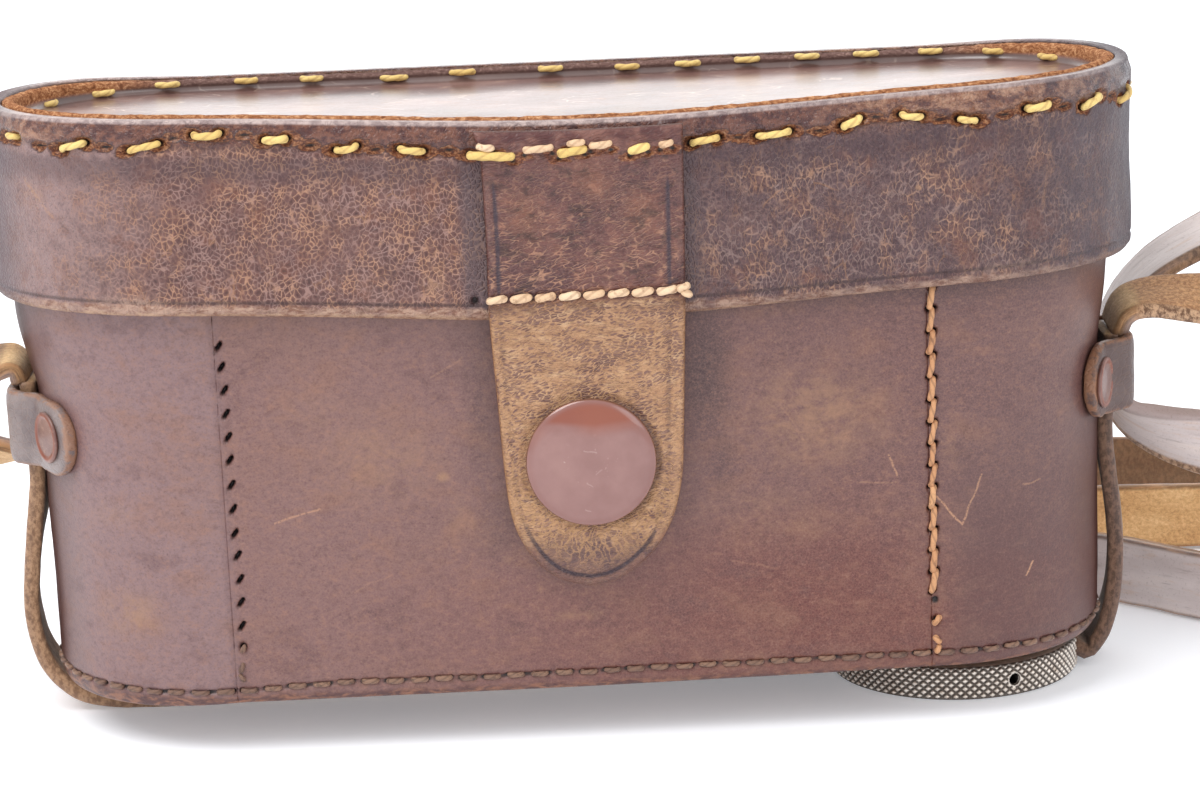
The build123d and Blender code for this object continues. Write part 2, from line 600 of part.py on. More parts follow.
export_step(strap_free.part, "parts/strap_free.step")

length = sum(e.length for e in route.edges())
print("free strap: length", round(length, 1), "volume", round(strap_free.part.volume),
      "section x length", round(pi * CORD_R ** 2 * length))
print("radii", ROUTE_RADII)
print("smallest radius", min(ROUTE_RADII))
runs = [(Vector(*ROUTE[i + 1]) - Vector(*ROUTE[i])).length for i in range(len(ROUTE) - 1)]
print("runs", [round(r, 1) for r in runs])
print("run ratios over 2:", [(i, round(max(runs[i] / runs[i + 1], runs[i + 1] / runs[i]), 2))
                             for i in range(len(runs) - 1)
                             if max(runs[i] / runs[i + 1], runs[i + 1] / runs[i]) > 2])
turns = [round((Vector(*ROUTE[i]) - Vector(*ROUTE[i - 1])).get_angle(Vector(*ROUTE[i + 1]) - Vector(*ROUTE[i])), 1)
         for i in range(1, len(ROUTE) - 1)]
print("turns", turns)
print("sling radii", SLING_RADII, "sling box", strap_sling.part.bounding_box())
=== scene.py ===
import bpy
import json
import math
import numpy as np
from mathutils import Matrix, Vector

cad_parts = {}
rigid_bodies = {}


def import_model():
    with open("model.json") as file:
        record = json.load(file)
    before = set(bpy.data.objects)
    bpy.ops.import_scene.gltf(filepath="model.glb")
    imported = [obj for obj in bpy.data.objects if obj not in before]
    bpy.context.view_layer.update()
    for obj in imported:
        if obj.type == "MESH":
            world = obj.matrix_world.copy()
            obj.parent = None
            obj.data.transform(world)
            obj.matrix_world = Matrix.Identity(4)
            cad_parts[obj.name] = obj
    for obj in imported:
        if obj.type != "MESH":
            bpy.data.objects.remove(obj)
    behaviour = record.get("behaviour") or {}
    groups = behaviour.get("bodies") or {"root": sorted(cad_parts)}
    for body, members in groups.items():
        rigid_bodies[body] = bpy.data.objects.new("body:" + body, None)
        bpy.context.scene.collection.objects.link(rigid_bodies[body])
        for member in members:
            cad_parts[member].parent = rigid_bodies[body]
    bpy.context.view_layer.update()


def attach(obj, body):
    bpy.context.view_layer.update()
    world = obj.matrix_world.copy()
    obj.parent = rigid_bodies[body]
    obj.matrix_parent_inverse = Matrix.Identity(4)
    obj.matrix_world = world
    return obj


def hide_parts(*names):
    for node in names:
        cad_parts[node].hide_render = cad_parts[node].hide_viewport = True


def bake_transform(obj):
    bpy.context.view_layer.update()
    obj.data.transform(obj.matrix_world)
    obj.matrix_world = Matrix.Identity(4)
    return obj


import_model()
MM = 0.001
scene = bpy.context.scene
pi = math.pi

# ------------------------------------------------------------------ camera
# lengths below are in millimetres until they reach a mesh or an object
CAM = dict(x=-2.858, y=-431.497, z=144.334, f=3193.85, yaw=0.015465, pitch=0.236334, roll=-0.040247)


def look():
    yaw, pitch, roll = CAM["yaw"], CAM["pitch"], CAM["roll"]
    fw = Vector((math.sin(yaw) * math.cos(pitch), math.cos(yaw) * math.cos(pitch), -math.sin(pitch)))
    rt = Vector((math.cos(yaw), -math.sin(yaw), 0))
    up = rt.cross(fw)
    right = math.cos(roll) * rt + math.sin(roll) * up
    up2 = -math.sin(roll) * rt + math.cos(roll) * up
    return fw, right, up2


fw, right, up2 = look()
cam_data = bpy.data.cameras.new("camera")
cam_data.sensor_width = 36.0
cam_data.lens = 36.0 * CAM["f"] / 1200.0
cam_data.clip_start, cam_data.clip_end = 0.01, 50
cam = bpy.data.objects.new("camera", cam_data)
scene.collection.objects.link(cam)
cam.matrix_world = Matrix((
    (right.x, up2.x, -fw.x, CAM["x"] * MM),
    (right.y, up2.y, -fw.y, CAM["y"] * MM),
    (right.z, up2.z, -fw.z, CAM["z"] * MM),
    (0, 0, 0, 1),
))
scene.camera = cam
scene.view_settings.view_transform = "Standard"
scene.view_settings.look = "None"


# ------------------------------------------------------------------- noise
def _hash(ix, iy, iz, seed):
    h = (ix * 374761393 + iy * 668265263 + iz * 1440662683 + seed * 974634777) & 0xFFFFFFFF
    h = ((h ^ (h >> 13)) * 1274126177) & 0xFFFFFFFF
    h = ((h ^ (h >> 15)) * 2246822519) & 0xFFFFFFFF
    h = h ^ (h >> 16)
    return (h & 0xFFFFFF) / 16777215.0


def noise(p, size, seed=0):
    """Smooth noise from -1 to 1 at points p (n, 3) in mm; size is the feature size, one number or three."""
    q = np.asarray(p, float) / np.asarray(size, float)
    i = np.floor(q).astype(np.int64)
    f = q - i
    f = f * f * f * (f * (f * 6 - 15) + 10)
    out = np.zeros(len(q))
    for dx in (0, 1):
        for dy in (0, 1):
            for dz in (0, 1):
                w = (f[:, 0] if dx else 1 - f[:, 0]) * (f[:, 1] if dy else 1 - f[:, 1]) * (f[:, 2] if dz else 1 - f[:, 2])
                out += w * _hash(i[:, 0] + dx, i[:, 1] + dy, i[:, 2] + dz, seed)
    return out * 2 - 1


def fbm(p, size, octaves=4, seed=0, gain=0.5):
    out, amp, total = 0.0, 1.0, 0.0
    size = np.asarray(size, float)
    for k in range(octaves):
        out = out + amp * noise(p, size / 2 ** k, seed + 17 * k)
        total += amp
        amp *= gain
    return out / total


def step(a, b, x):
    t = np.clip((np.asarray(x, float) - a) / (b - a), 0, 1)
    return t * t * (3 - 2 * t)


# -------------------------------------------------------------------- mesh
def make(name, co, quads=None, tris=None, attrs=None, smooth=True, body=None, mat=None, closed=True, replaces=(), slot=None):
    co = np.asarray(co, float)
    quads = np.zeros((0, 4), int) if quads is None or len(quads) == 0 else np.asarray(quads, int)
    tris = np.zeros((0, 3), int) if tris is None or len(tris) == 0 else np.asarray(tris, int)
    if closed:
        t = np.concatenate([quads[:, [0, 1, 2]], quads[:, [0, 2, 3]], tris]) if len(quads) else tris
        a, b, c = co[t[:, 0]], co[t[:, 1]], co[t[:, 2]]
        if np.einsum("ij,ij->i", a, np.cross(b, c)).sum() < 0:
            quads, tris = quads[:, ::-1], tris[:, ::-1]
    me = bpy.data.meshes.new(name)
    me.vertices.add(len(co))
    me.vertices.foreach_set("co", (co * MM).astype(np.float32).ravel())
    me.loops.add(quads.size + tris.size)
    me.loops.foreach_set("vertex_index", np.concatenate([quads.ravel(), tris.ravel()]).astype(np.int32))
    me.polygons.add(len(quads) + len(tris))
    starts = np.concatenate([np.arange(len(quads)) * 4, quads.size + np.arange(len(tris)) * 3])
    me.polygons.foreach_set("loop_start", starts.astype(np.int32))
    me.update(calc_edges=True)
    me.validate()
    me.polygons.foreach_set("use_smooth", np.full(len(me.polygons), smooth))
    rest = me.attributes.new("rest", "FLOAT_VECTOR", "POINT")
    rest.data.foreach_set("vector", co.astype(np.float32).ravel())
    for key, value in (attrs or {}).items():
        at = me.attributes.new(key, "FLOAT", "POINT")
        at.data.foreach_set("value", np.broadcast_to(np.asarray(value, float), (len(co),)).astype(np.float32))
    ob = bpy.data.objects.new(name, me)
    scene.collection.objects.link(ob)
    if mat is not None:
        me.materials.append(mat)
    if body:
        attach(ob, body)
    if replaces:
        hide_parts(*replaces)
    return ob


def grid(nu, nv, close_u=False, close_v=False, base=0):
    """Quads of an (nu, nv) grid of vertices, u the slow index."""
    iu = np.arange(nu if close_u else nu - 1)
    iv = np.arange(nv if close_v else nv - 1)
    u, v = np.meshgrid(iu, iv, indexing="ij")
    u1, v1 = (u + 1) % nu, (v + 1) % nv
    return base + np.stack([u * nv + v, u1 * nv + v, u1 * nv + v1, u * nv + v1], -1).reshape(-1, 4)


def fan(ring, centre):
    r = np.asarray(ring)
    return np.stack([r, np.roll(r, -1), np.full(len(r), centre)], -1)


def outline(W, D, R, s):
    """Point and outward normal on a rounded rectangle, s from the middle of the front, positive to the right."""
    a, b, q = W / 2 - R, D / 2 - R, pi * R / 2
    L = 4 * (a + b + q)
    s = np.mod(np.asarray(s, float), L)
    e = np.cumsum([a, q, 2 * b, q, 2 * a, q, 2 * b, q])
    k = np.searchsorted(e, s, side="right")
    st = s - np.concatenate([[0], e])[k]
    t = st / R
    z = np.zeros_like(st)
    sel = [k == i for i in range(9)]
    x = np.select(sel, [st, a + R * np.sin(t), z + W / 2, a + R * np.cos(t), a - st, -a - R * np.sin(t), z - W / 2, -a - R * np.cos(t), -a + st])
    y = np.select(sel, [z - D / 2, -b - R * np.cos(t), -b + st, b + R * np.sin(t), z + D / 2, b + R * np.cos(t), b - st, -b - R * np.sin(t), z - D / 2])
    nx = np.select(sel, [z, np.sin(t), z + 1, np.cos(t), z, -np.sin(t), z - 1, -np.cos(t), z])
    ny = np.select(sel, [z - 1, -np.cos(t), z, np.sin(t), z + 1, np.cos(t), z, -np.sin(t), z - 1])
    return x, y, nx, ny


def girth(W, D, R):
    return 2 * (W - 2 * R) + 2 * (D - 2 * R) + 2 * pi * R


def section(z_rows, T, r, inner=6, n=5):
    """Closed loop (inward offset, z, weight of the outer relief) of a leather wall with rounded edges."""
    z0, z1 = z_rows[0], z_rows[-1]
    out = [(0.0, z, 1.0) for z in z_rows]
    for k in range(1, n + 1):
        a = k / n * pi / 2
        out.append((r - r * math.cos(a), z1 + r * math.sin(a), 1 - 0.5 * k / n))
    for k in range(0, n + 1):
        a = k / n * pi / 2
        out.append((T - r + r * math.sin(a), z1 + r * math.cos(a), 0.5 - 0.5 * k / n))
    for k in range(1, inner):
        out.append((T, z1 + (z0 - z1) * k / inner, 0.0))
    for k in range(0, n + 1):
        a = k / n * pi / 2
        out.append((T - r + r * math.cos(a), z0 - r * math.sin(a), 0.5 * k / n))
    for k in range(1, n):
        a = k / n * pi / 2
        out.append((r - r * math.sin(a), z0 - r * math.cos(a), 0.5 + 0.5 * k / n))
    return np.array(out)


def wall(name, size, s, rows, shape, closed_s, **kw):
    """Leather wall along a rounded outline. shape(s, z, off, k, x, y) gives (relief, dx, dz, attrs)."""
    W, D, R = size
    S, J = np.meshgrid(s, np.arange(len(rows)), indexing="ij")
    S, J = S.ravel(), J.ravel()
    off, z, k = rows[J, 0], rows[J, 1], rows[J, 2]
    x, y, nx, ny = outline(W, D, R, S)
    relief, dx, dz, attrs = shape(S, z, off, k, x, y)
    d = relief * k - off
    co = np.stack([x + nx * d + dx, y + ny * d, z + dz], -1)
    nv, ns = len(rows), len(s)
    quads = grid(ns, nv, close_u=closed_s, close_v=True)
    tris = None
    if not closed_s:
        first, last = np.arange(nv), np.arange(nv) + (ns - 1) * nv
        co = np.vstack([co, co[first].mean(0), co[last].mean(0)])
        tris = np.concatenate([fan(first, ns * nv), fan(last, ns * nv + 1)[:, ::-1]])
        attrs = {key: np.concatenate([np.broadcast_to(v, (ns * nv,)), [0, 0]]) for key, v in attrs.items()}
    return make(name, co, quads, tris, attrs, **kw)


def sweep(P, Wd, N, sec, sw=None, st=None, ends=True):
    """Vertices and faces of a closed section (w, t) swept along P; Wd and N are its width and thickness directions."""
    P, Wd, N = np.asarray(P, float), np.asarray(Wd, float), np.asarray(N, float)
    n, m = len(P), len(sec)
    sw = np.ones(n) if sw is None else np.asarray(sw)
    st = np.ones(n) if st is None else np.asarray(st)
    sw = sw if sw.ndim == 2 else sw[:, None]
    st = st if st.ndim == 2 else st[:, None]
    co = P[:, None] + Wd[:, None] * (sw * sec[None, :, 0])[..., None] + N[:, None] * (st * sec[None, :, 1])[..., None]
    co = co.reshape(-1, 3)
    quads = grid(n, m, close_v=True)
    tris = np.zeros((0, 3), int)
    if ends:
        co = np.vstack([co, P[0], P[-1]])
        r = np.arange(m)
        tris = np.concatenate([
            np.stack([r, np.roll(r, -1), np.full(m, n * m)], -1),
            np.stack([np.roll(r, -1) + (n - 1) * m, r + (n - 1) * m, np.full(m, n * m + 1)], -1),
        ])
    return co, quads, tris


def strap_section(a, b, r, nw=9, nt=3, nr=3):
    """Rounded rectangle of half width a and half thickness b."""
    pts = []
    def corner(cx, cy, a0):
        for k in range(nr + 1):
            t = a0 + k / nr * pi / 2
            pts.append((cx + r * math.cos(t), cy + r * math.sin(t)))
    def run(p, q, n):
        for k in range(1, n):
            pts.append((p[0] + (q[0] - p[0]) * k / n, p[1] + (q[1] - p[1]) * k / n))
    run((a, -b + r), (a, b - r), nt)
    corner(a - r, b - r, 0)
    run((a - r, b), (-a + r, b), nw)
    corner(-a + r, b - r, pi / 2)
    run((-a, b - r), (-a, -b + r), nt)
    corner(-a + r, -b + r, pi)
    run((-a + r, -b), (a - r, -b), nw)
    corner(a - r, -b + r, 3 * pi / 2)
    return np.array(pts)


def unit(v):
    v = np.asarray(v, float)
    return v / np.maximum(np.linalg.norm(v, axis=-1, keepdims=True), 1e-12)


def catmull(pts, n):
    """Smooth path through points, n samples a span."""
    p = np.asarray(pts, float)
    p = np.vstack([2 * p[0] - p[1], p, 2 * p[-1] - p[-2]])
    out = []
    for i in range(1, len(p) - 2):
        t = np.linspace(0, 1, n, endpoint=False)[:, None]
        a, b, c, d = p[i - 1], p[i], p[i + 1], p[i + 2]
        out.append(0.5 * (2 * b + (c - a) * t + (2 * a - 5 * b + 4 * c - d) * t ** 2 + (3 * b - a - 3 * c + d) * t ** 3))
    out.append(p[-2][None])
    return np.concatenate(out)


class Parts:
    """Collects small closed bits into one mesh."""
    def __init__(self):
        self.co, self.quads, self.tris, self.attrs, self.n = [], [], [], {}, 0

    def add(self, co, quads, tris, **attrs):
        t = np.concatenate([quads[:, [0, 1, 2]], quads[:, [0, 2, 3]], tris]) if len(quads) else tris
        a, b, c = co[t[:, 0]], co[t[:, 1]], co[t[:, 2]]
        m = co.mean(0)
        if np.einsum("ij,ij->i", a - m, np.cross(b - m, c - m)).sum() < 0:
            quads, tris = quads[:, ::-1], tris[:, ::-1]
        self.co.append(co)
        self.quads.append(quads + self.n)
        self.tris.append(tris + self.n)
        for k, v in attrs.items():
            self.attrs.setdefault(k, []).append(np.broadcast_to(np.asarray(v, float), (len(co),)))
        self.n += len(co)

    def done(self, name, **kw):
        return make(name, np.vstack(self.co), np.vstack(self.quads), np.vstack(self.tris),
                    {k: np.concatenate(v) for k, v in self.attrs.items()}, closed=False, **kw)


def thread(parts, pts, radius, out, twist=1.3, seed=0, tone=0.0, fat=1.0):
    """One visible stitch of two-ply thread along pts; out is the direction away from the leather."""
    P = catmull(pts, 5)
    T = unit(np.gradient(P, axis=0))
    O = unit(np.broadcast_to(out, T.shape) - T * (T @ np.asarray(out, float))[:, None])
    B = np.cross(T, O)
    d = np.concatenate([[0], np.cumsum(np.linalg.norm(np.diff(P, axis=0), axis=1))])
    m = 12
    a = np.arange(m) / m * 2 * pi
    n = len(P)
    ends = np.sqrt(np.clip(np.minimum(d, d[-1] - d) / (radius * 1.2) + 0.12, 0, 1))
    co = []
    for i in range(n):
        ph = a + d[i] / twist * 2 * pi + seed
        rr = radius * (1 + 0.08 * np.cos(2 * (a - d[i] / (radius * 4.2) * pi + seed))) * ends[i]
        co.append(P[i] + np.outer(np.cos(a) * rr * fat, B[i]) + np.outer(np.sin(a) * rr, O[i]))
    co = np.vstack(co + [P[:1], P[-1:]])
    quads = grid(n, m, close_v=True)
    r = np.arange(m)
    tris = np.concatenate([
        np.stack([r, np.roll(r, -1), np.full(m, n * m)], -1),
        np.stack([np.roll(r, -1) + (n - 1) * m, r + (n - 1) * m, np.full(m, n * m + 1)], -1),
    ])
    ply = np.concatenate([np.concatenate([0.5 + 0.5 * np.cos(2 * (a - d[i] / (radius * 4.2) * pi + seed)) for i in range(n)]), [0.5, 0.5]])
    ends_v = np.concatenate([np.repeat(1 - ends, m), [1, 1]])
    parts.add(co, quads, tris, tone=tone, ply=ply, ends=ends_v)


# --------------------------------------------------------------- materials
class NT:
    """Short names for building a node tree."""
    def __init__(self, name):
        self.mat = bpy.data.materials.new(name)
        self.mat.use_nodes = True
        self.t = self.mat.node_tree
        self.t.nodes.clear()
        self.out = self.t.nodes.new("ShaderNodeOutputMaterial")
        self.bsdf = self.t.nodes.new("ShaderNodeBsdfPrincipled")
        self.t.links.new(self.bsdf.outputs[0], self.out.inputs[0])

    def node(self, kind, **props):
        n = self.t.nodes.new(kind)
        for k, v in props.items():
            setattr(n, k, v)
        return n

    def put(self, socket, value):
        if isinstance(value, bpy.types.NodeSocket):
            self.t.links.new(value, socket)
        elif value is not None:
            socket.default_value = value

    def math(self, op, a, b=None, c=None, clamp=False):
        n = self.node("ShaderNodeMath", operation=op, use_clamp=clamp)
        for i, v in enumerate((a, b, c)):
            if v is not None:
                self.put(n.inputs[i], v)
        return n.outputs[0]

    def vmath(self, op, a, b=None, scale=None):
        n = self.node("ShaderNodeVectorMath", operation=op)
        self.put(n.inputs[0], a)
        if b is not None:
            self.put(n.inputs[1], b)
        if scale is not None:
            self.put(n.inputs["Scale"], scale)
        return n.outputs["Value"] if op in ("LENGTH", "DOT_PRODUCT", "DISTANCE") else n.outputs[0]

    def attr(self, name, vector=False):
        n = self.node("ShaderNodeAttribute", attribute_name=name)
        return n.outputs["Vector"] if vector else n.outputs["Fac"]

    def rest(self, cad=False):
        if cad:
            n = self.node("ShaderNodeTexCoord")
            return self.vmath("SCALE", n.outputs["Object"], scale=1000.0)
        return self.attr("rest", True)

    def noise(self, p, size, detail=4.0, rough=0.55, lac=2.0, dist=0.0, kind="FBM"):
        """Noise 0..1 around 0.5, feature size in mm (one number or three)."""
        n = self.node("ShaderNodeTexNoise", noise_dimensions="3D")
        if hasattr(size, "__len__"):
            p = self.vmath("MULTIPLY", p, tuple(1.0 / s for s in size))
            self.put(n.inputs["Scale"], 1.0)
        else:
            self.put(n.inputs["Scale"], 1.0 / size)
        self.put(n.inputs["Vector"], p)
        self.put(n.inputs["Detail"], detail)
        self.put(n.inputs["Roughness"], rough)
        self.put(n.inputs["Lacunarity"], lac)
        self.put(n.inputs["Distortion"], dist)
        return n.outputs["Fac"]

    def noisec(self, p, size, detail=2.0):
        n = self.node("ShaderNodeTexNoise", noise_dimensions="3D")
        self.put(n.inputs["Scale"], 1.0 / size)
        self.put(n.inputs["Vector"], p)
        self.put(n.inputs["Detail"], detail)
        return n.outputs["Color"]

    def warp(self, p, size, amount):
        """p moved by noise of that size by up to about amount mm."""
        c = self.vmath("SUBTRACT", self.noisec(p, size), (0.5, 0.5, 0.5))
        return self.vmath("ADD", p, self.vmath("SCALE", c, scale=amount * 2))

    def cells(self, p, size, feature="DISTANCE_TO_EDGE", rand=1.0):
        n = self.node("ShaderNodeTexVoronoi", voronoi_dimensions="3D", feature=feature)
        p = self.vmath("MULTIPLY", p, tuple(1.0 / s for s in size))
        self.put(n.inputs["Vector"], p)
        self.put(n.inputs["Scale"], 1.0)
        self.put(n.inputs["Randomness"], rand)
        return n.outputs["Distance"]

    def band(self, x, lo, hi):
        """0 below lo, 1 above hi, smooth; the other way round if lo > hi."""
        n = self.node("ShaderNodeMapRange", interpolation_type="SMOOTHSTEP")
        self.put(n.inputs["Value"], x)
        a, b, c, d = (lo, hi, 0.0, 1.0) if lo < hi else (hi, lo, 1.0, 0.0)
        for key, v in zip(("From Min", "From Max", "To Min", "To Max"), (a, b, c, d)):
            n.inputs[key].default_value = v
        return n.outputs["Result"]

    def mix(self, f, a, b, kind="MIX"):
        n = self.node("ShaderNodeMix", data_type="RGBA", blend_type=kind, clamp_factor=True)
        self.put(n.inputs[0], f)
        self.put(n.inputs[6], rgb(a))
        self.put(n.inputs[7], rgb(b))
        return n.outputs[2]

    def ramp(self, x, stops):
        n = self.node("ShaderNodeValToRGB")
        self.put(n.inputs[0], x)
        r = n.color_ramp
        while len(r.elements) < len(stops):
            r.elements.new(0.5)
        for e, (pos, c) in zip(r.elements, stops):
            e.position = pos
            e.color = rgb(c)
        return n.outputs["Color"]

    def bump(self, height, distance, strength=1.0, normal=None):
        n = self.node("ShaderNodeBump")
        n.inputs["Strength"].default_value = strength
        n.inputs["Distance"].default_value = distance * MM
        self.put(n.inputs["Height"], height)
        if normal is not None:
            self.put(n.inputs["Normal"], normal)
        return n.outputs[0]

    def set(self, **kw):
        for k, v in kw.items():
            self.put(self.bsdf.inputs[k.replace("_", " ")], v)

    def segments(self, p, lines, width, plane="xz"):
        """Mask of thin lines: each (x1, z1, x2, z2, strength), in mm, seen along Y."""
        flat = self.vmath("MULTIPLY", p, (1.0, 0.0, 1.0))
        total = None
        for x1, z1, x2, z2, k in lines:
            d = Vector((x2 - x1, 0, z2 - z1))
            rel = self.vmath("SUBTRACT", flat, (x1, 0.0, z1))
            t = self.math("MULTIPLY", self.vmath("DOT_PRODUCT", rel, tuple(d)), 1.0 / d.length_squared, clamp=True)
            dist = self.vmath("DISTANCE", rel, self.vmath("SCALE", tuple(d), scale=t))
            m = self.math("MULTIPLY", self.band(dist, width, width * 0.25), k)
            total = m if total is None else self.math("MAXIMUM", total, m)
        return total

    def spots(self, p, spots):
        """Soft blots: each (x, z, radius x, radius z, strength), in mm, seen along Y."""
        total = None
        for x, z, rx, rz, k in spots:
            rel = self.vmath("MULTIPLY", self.vmath("SUBTRACT", p, (x, 0.0, z)), (1.0 / rx, 0.0, 1.0 / rz))
            m = self.math("MULTIPLY", self.band(self.vmath("LENGTH", rel), 1.0, 0.0), k)
            total = m if total is None else self.math("MAXIMUM", total, m)
        return total


def rgb(c):
    if isinstance(c, bpy.types.NodeSocket):
        return c
    if isinstance(c, (int, float)):
        return (c, c, c, 1.0)
    return tuple(c) if len(c) == 4 else (*c, 1.0)


def srgb(r, g, b):
    f = lambda v: (v / 255 / 12.92) if v <= 10.3 else ((v / 255 + 0.055) / 1.055) ** 2.4
    return (f(r), f(g), f(b), 1.0)


def tone(r, g, b, haze=0.055, gain=1.15):
    """Base colour that looks like (r, g, b) under this light."""
    return tuple(max((v - haze) / gain, 0.004) for v in srgb(r, g, b)[:3]) + (1.0,)


# ------------------------------------------------------------- the strap's run
ROUTE = [
    (75.6, 0.0, 47.6), (76.0, -0.2, 50.4), (79.6, -0.5, 52.0), (88.0, -1.2, 51.3), (102.0, -3.5, 50.5),
    (116.5, -7.0, 50.5), (130.5, -7.7, 52.0), (144.0, -5.3, 55.5), (152.8, 5.2, 60.0), (152.8, 18.8, 65.0),
    (144.0, 29.3, 68.0), (130.5, 31.5, 68.0), (114.5, 26.2, 64.8), (100.5, 19.5, 59.8), (87.8, 15.0, 55.8),
    (80.6, 14.0, 51.0), (76.9, 14.2, 44.6), (76.9, 14.2, 35.5), (81.8, 13.4, 29.5), (98.5, 11.0, 25.5),
    (113.5, 8.7, 22.0), (127.0, 9.5, 19.5), (137.0, 17.0, 17.0), (138.5, 31.0, 13.5), (131.0, 43.5, 10.5),
    (117.5, 48.5, 7.0), (102.0, 50.5, 5.3), (82.0, 52.0, 5.5), (62.0, 51.0, 5.3), (42.0, 49.0, 5.2),
    (24.0, 53.0, 5.2), (9.0, 53.5, 5.2), (0.5, 44.5, 5.2), (9.5, 35.5, 5.2), (26.0, 33.5, 5.2),
    (44.0, 33.0, 5.2), (60.0, 32.5, 5.2), (73.5, 30.0, 5.2), (83.0, 22.5, 5.2), (92.5, 12.0, 5.2),
    (106.0, 3.0, 5.2), (122.0, -2.5, 5.2), (138.5, 0.5, 5.2), (150.0, 12.0, 5.2), (152.5, 28.0, 5.2),
    (147.0, 43.5, 5.2), (134.5, 60.5, 5.8), (118.0, 66.5, 6.8), (98.0, 68.5, 8.6), (76.0, 67.8, 9.6),
    (54.0, 66.0, 8.5), (32.0, 71.5, 7.5), (10.0, 73.5, 7.0), (-14.0, 71.5, 7.0), (-37.0, 62.0, 8.5),
    (-54.5, 48.5, 13.5), (-68.0, 34.5, 24.5), (-81.0, 27.5, 30.0), (-93.0, 29.0, 30.5), (-104.0, 31.0, 30.5),
    (-115.3, 29.5, 31.5), (-122.0, 20.3, 33.0), (-122.0, 7.7, 35.5), (-115.3, -2.0, 38.5), (-105.8, -4.2, 42.0),
    (-95.5, -3.0, 46.0), (-86.0, -1.5, 47.6), (-79.3, -0.6, 49.6), (-76.0, -0.1, 50.0), (-75.6, 0.0, 47.6),
]


def nurbs(points, name):
    """Points along the order-3 NURBS curve that has these control points."""
    cu = bpy.data.curves.new(name, "CURVE")
    cu.dimensions = "3D"
    sp = cu.splines.new("NURBS")
    sp.points.add(len(points) - 1)
    for q, p in zip(sp.points, points):
        q.co = (p[0] * MM, p[1] * MM, p[2] * MM, 1.0)
    sp.order_u = 3
    sp.use_endpoint_u = True
    sp.resolution_u = 12
    ob = bpy.data.objects.new(name, cu)
    scene.collection.objects.link(ob)
    bpy.context.view_layer.update()
    me = bpy.data.meshes.new_from_object(ob)
    pts = np.array([v.co[:] for v in me.vertices]) / MM
    bpy.data.objects.remove(ob)
    bpy.data.meshes.remove(me)
    keep = np.concatenate([[True], np.linalg.norm(np.diff(pts, axis=0), axis=1) > 1e-4])
    return pts[keep]


def along(P, keys, count):
    """Width directions along an order-3 NURBS path of count points: keys are (number of the point, vector)."""
    d = np.concatenate([[0], np.cumsum(np.linalg.norm(np.diff(P, axis=0), axis=1))])
    f = np.linspace(0, count - 2, len(P))
    k = np.array([min(max(i - 0.5, 0), count - 2) for i, _ in keys], float)
    v = unit([w for _, w in keys])
    Wd = np.stack([np.interp(f, k, v[:, i]) for i in range(3)], -1)
    T = unit(np.gradient(P, axis=0))
    Wd = unit(Wd - T * np.einsum("ij,ij->i", Wd, T)[:, None])
    return T, Wd, np.cross(T, Wd), d


STRAP_W, STRAP_T = 10.0, 2.2


def strap(name, P, keys, count, seed, **kw):
    T, Wd, N, d = along(P, keys, count)
    sec = strap_section(STRAP_W / 2, STRAP_T / 2, 0.55)
    n, m = len(P), len(sec)
    q = np.stack([np.repeat(d, m), np.tile(sec[:, 0], n), np.tile(sec[:, 1], n)], -1)
    rough = fbm(q + seed * 50, (9, 2.5, 2), 3, seed)
    edge = fbm(q + seed * 70, (2.2, 1, 1), 3, seed + 5)
    sw = (1 + 0.02 * rough.reshape(n, m) + 0.012 * edge.reshape(n, m))
    st = (1 + 0.06 * edge.reshape(n, m) + 0.05 * rough.reshape(n, m))
    co, quads, tris = sweep(P, Wd, N, sec, sw, st)
    side = np.concatenate([np.tile(np.clip(-sec[:, 1] / (STRAP_T / 2), -1, 1), n), [0, 0]])
    across = np.concatenate([np.tile(sec[:, 0] / (STRAP_W / 2), n), [0, 0]])
    run = np.concatenate([np.repeat(d, m), [d[0], d[-1]]])
    ob = make(name, co, quads, tris, dict(side=side, across=across, run=run), **kw)
    return ob


path = nurbs(ROUTE, "route")
free = strap("free_strap", path, [
    (0, (0, 1, 0)), (1, (0, 1, 0.05)), (2, (0, 0.98, 0.20)), (3, (0, 0.91, 0.42)), (4, (0, 0.7, 0.71)), (5, (0, 0.3, 0.95)), (7, (0, 0.05, 1)),
    (11, (0, 0.2, 1)), (12, (0, 0.75, 0.66)), (13, (0, 0.94, 0.34)), (14, (0, 0.98, 0.20)), (15, (0, 0.99, 0.14)), (16, (0, 1, 0)), (17, (0, 1, -0.05)),
    (18, (0, 0.70, -0.71)), (19, (0, -0.10, -1)), (20, (0, -0.32, -0.95)), (22, (0, -0.15, -1)), (24, (0, 0.0, -1)), (54, (0, 0, -1)), (55, (0, 0.4, -0.9)), (56, (0, 0.85, -0.5)),
    (57, (0, 0.95, -0.3)), (58, (0, 0.6, -0.8)), (59, (0, 0.1, -1)), (62, (0, 0, -1)), (63, (0, 0.5, -0.87)), (64, (0, 0.95, -0.3)),
    (65, (0, 0.97, 0.25)), (66, (0, 0.85, 0.5)), (67, (0, 0.98, 0.2)), (68, (0, 1, 0)),
], len(ROUTE), 3)
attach(free, "case_body")
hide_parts("strap_free")

# --------------------------------------------------------------- the shapes
BW, BD, BR = 145.0, 50.5, 24.0
LW, LD, LR = 154.5, 56.5, 26.5
BL, LL = girth(BW, BD, BR), girth(LW, LD, LR)
WALL = 2.3
BZ0, BZ1 = 7.1, 70.0
LZ0, LZ1 = 59.5, 85.0
SEAM = 46.5


def bulge(x):
    return np.clip(0.6 - 1.0 * (np.asarray(x, float) / 60.0) ** 2, -0.4, 0.6)


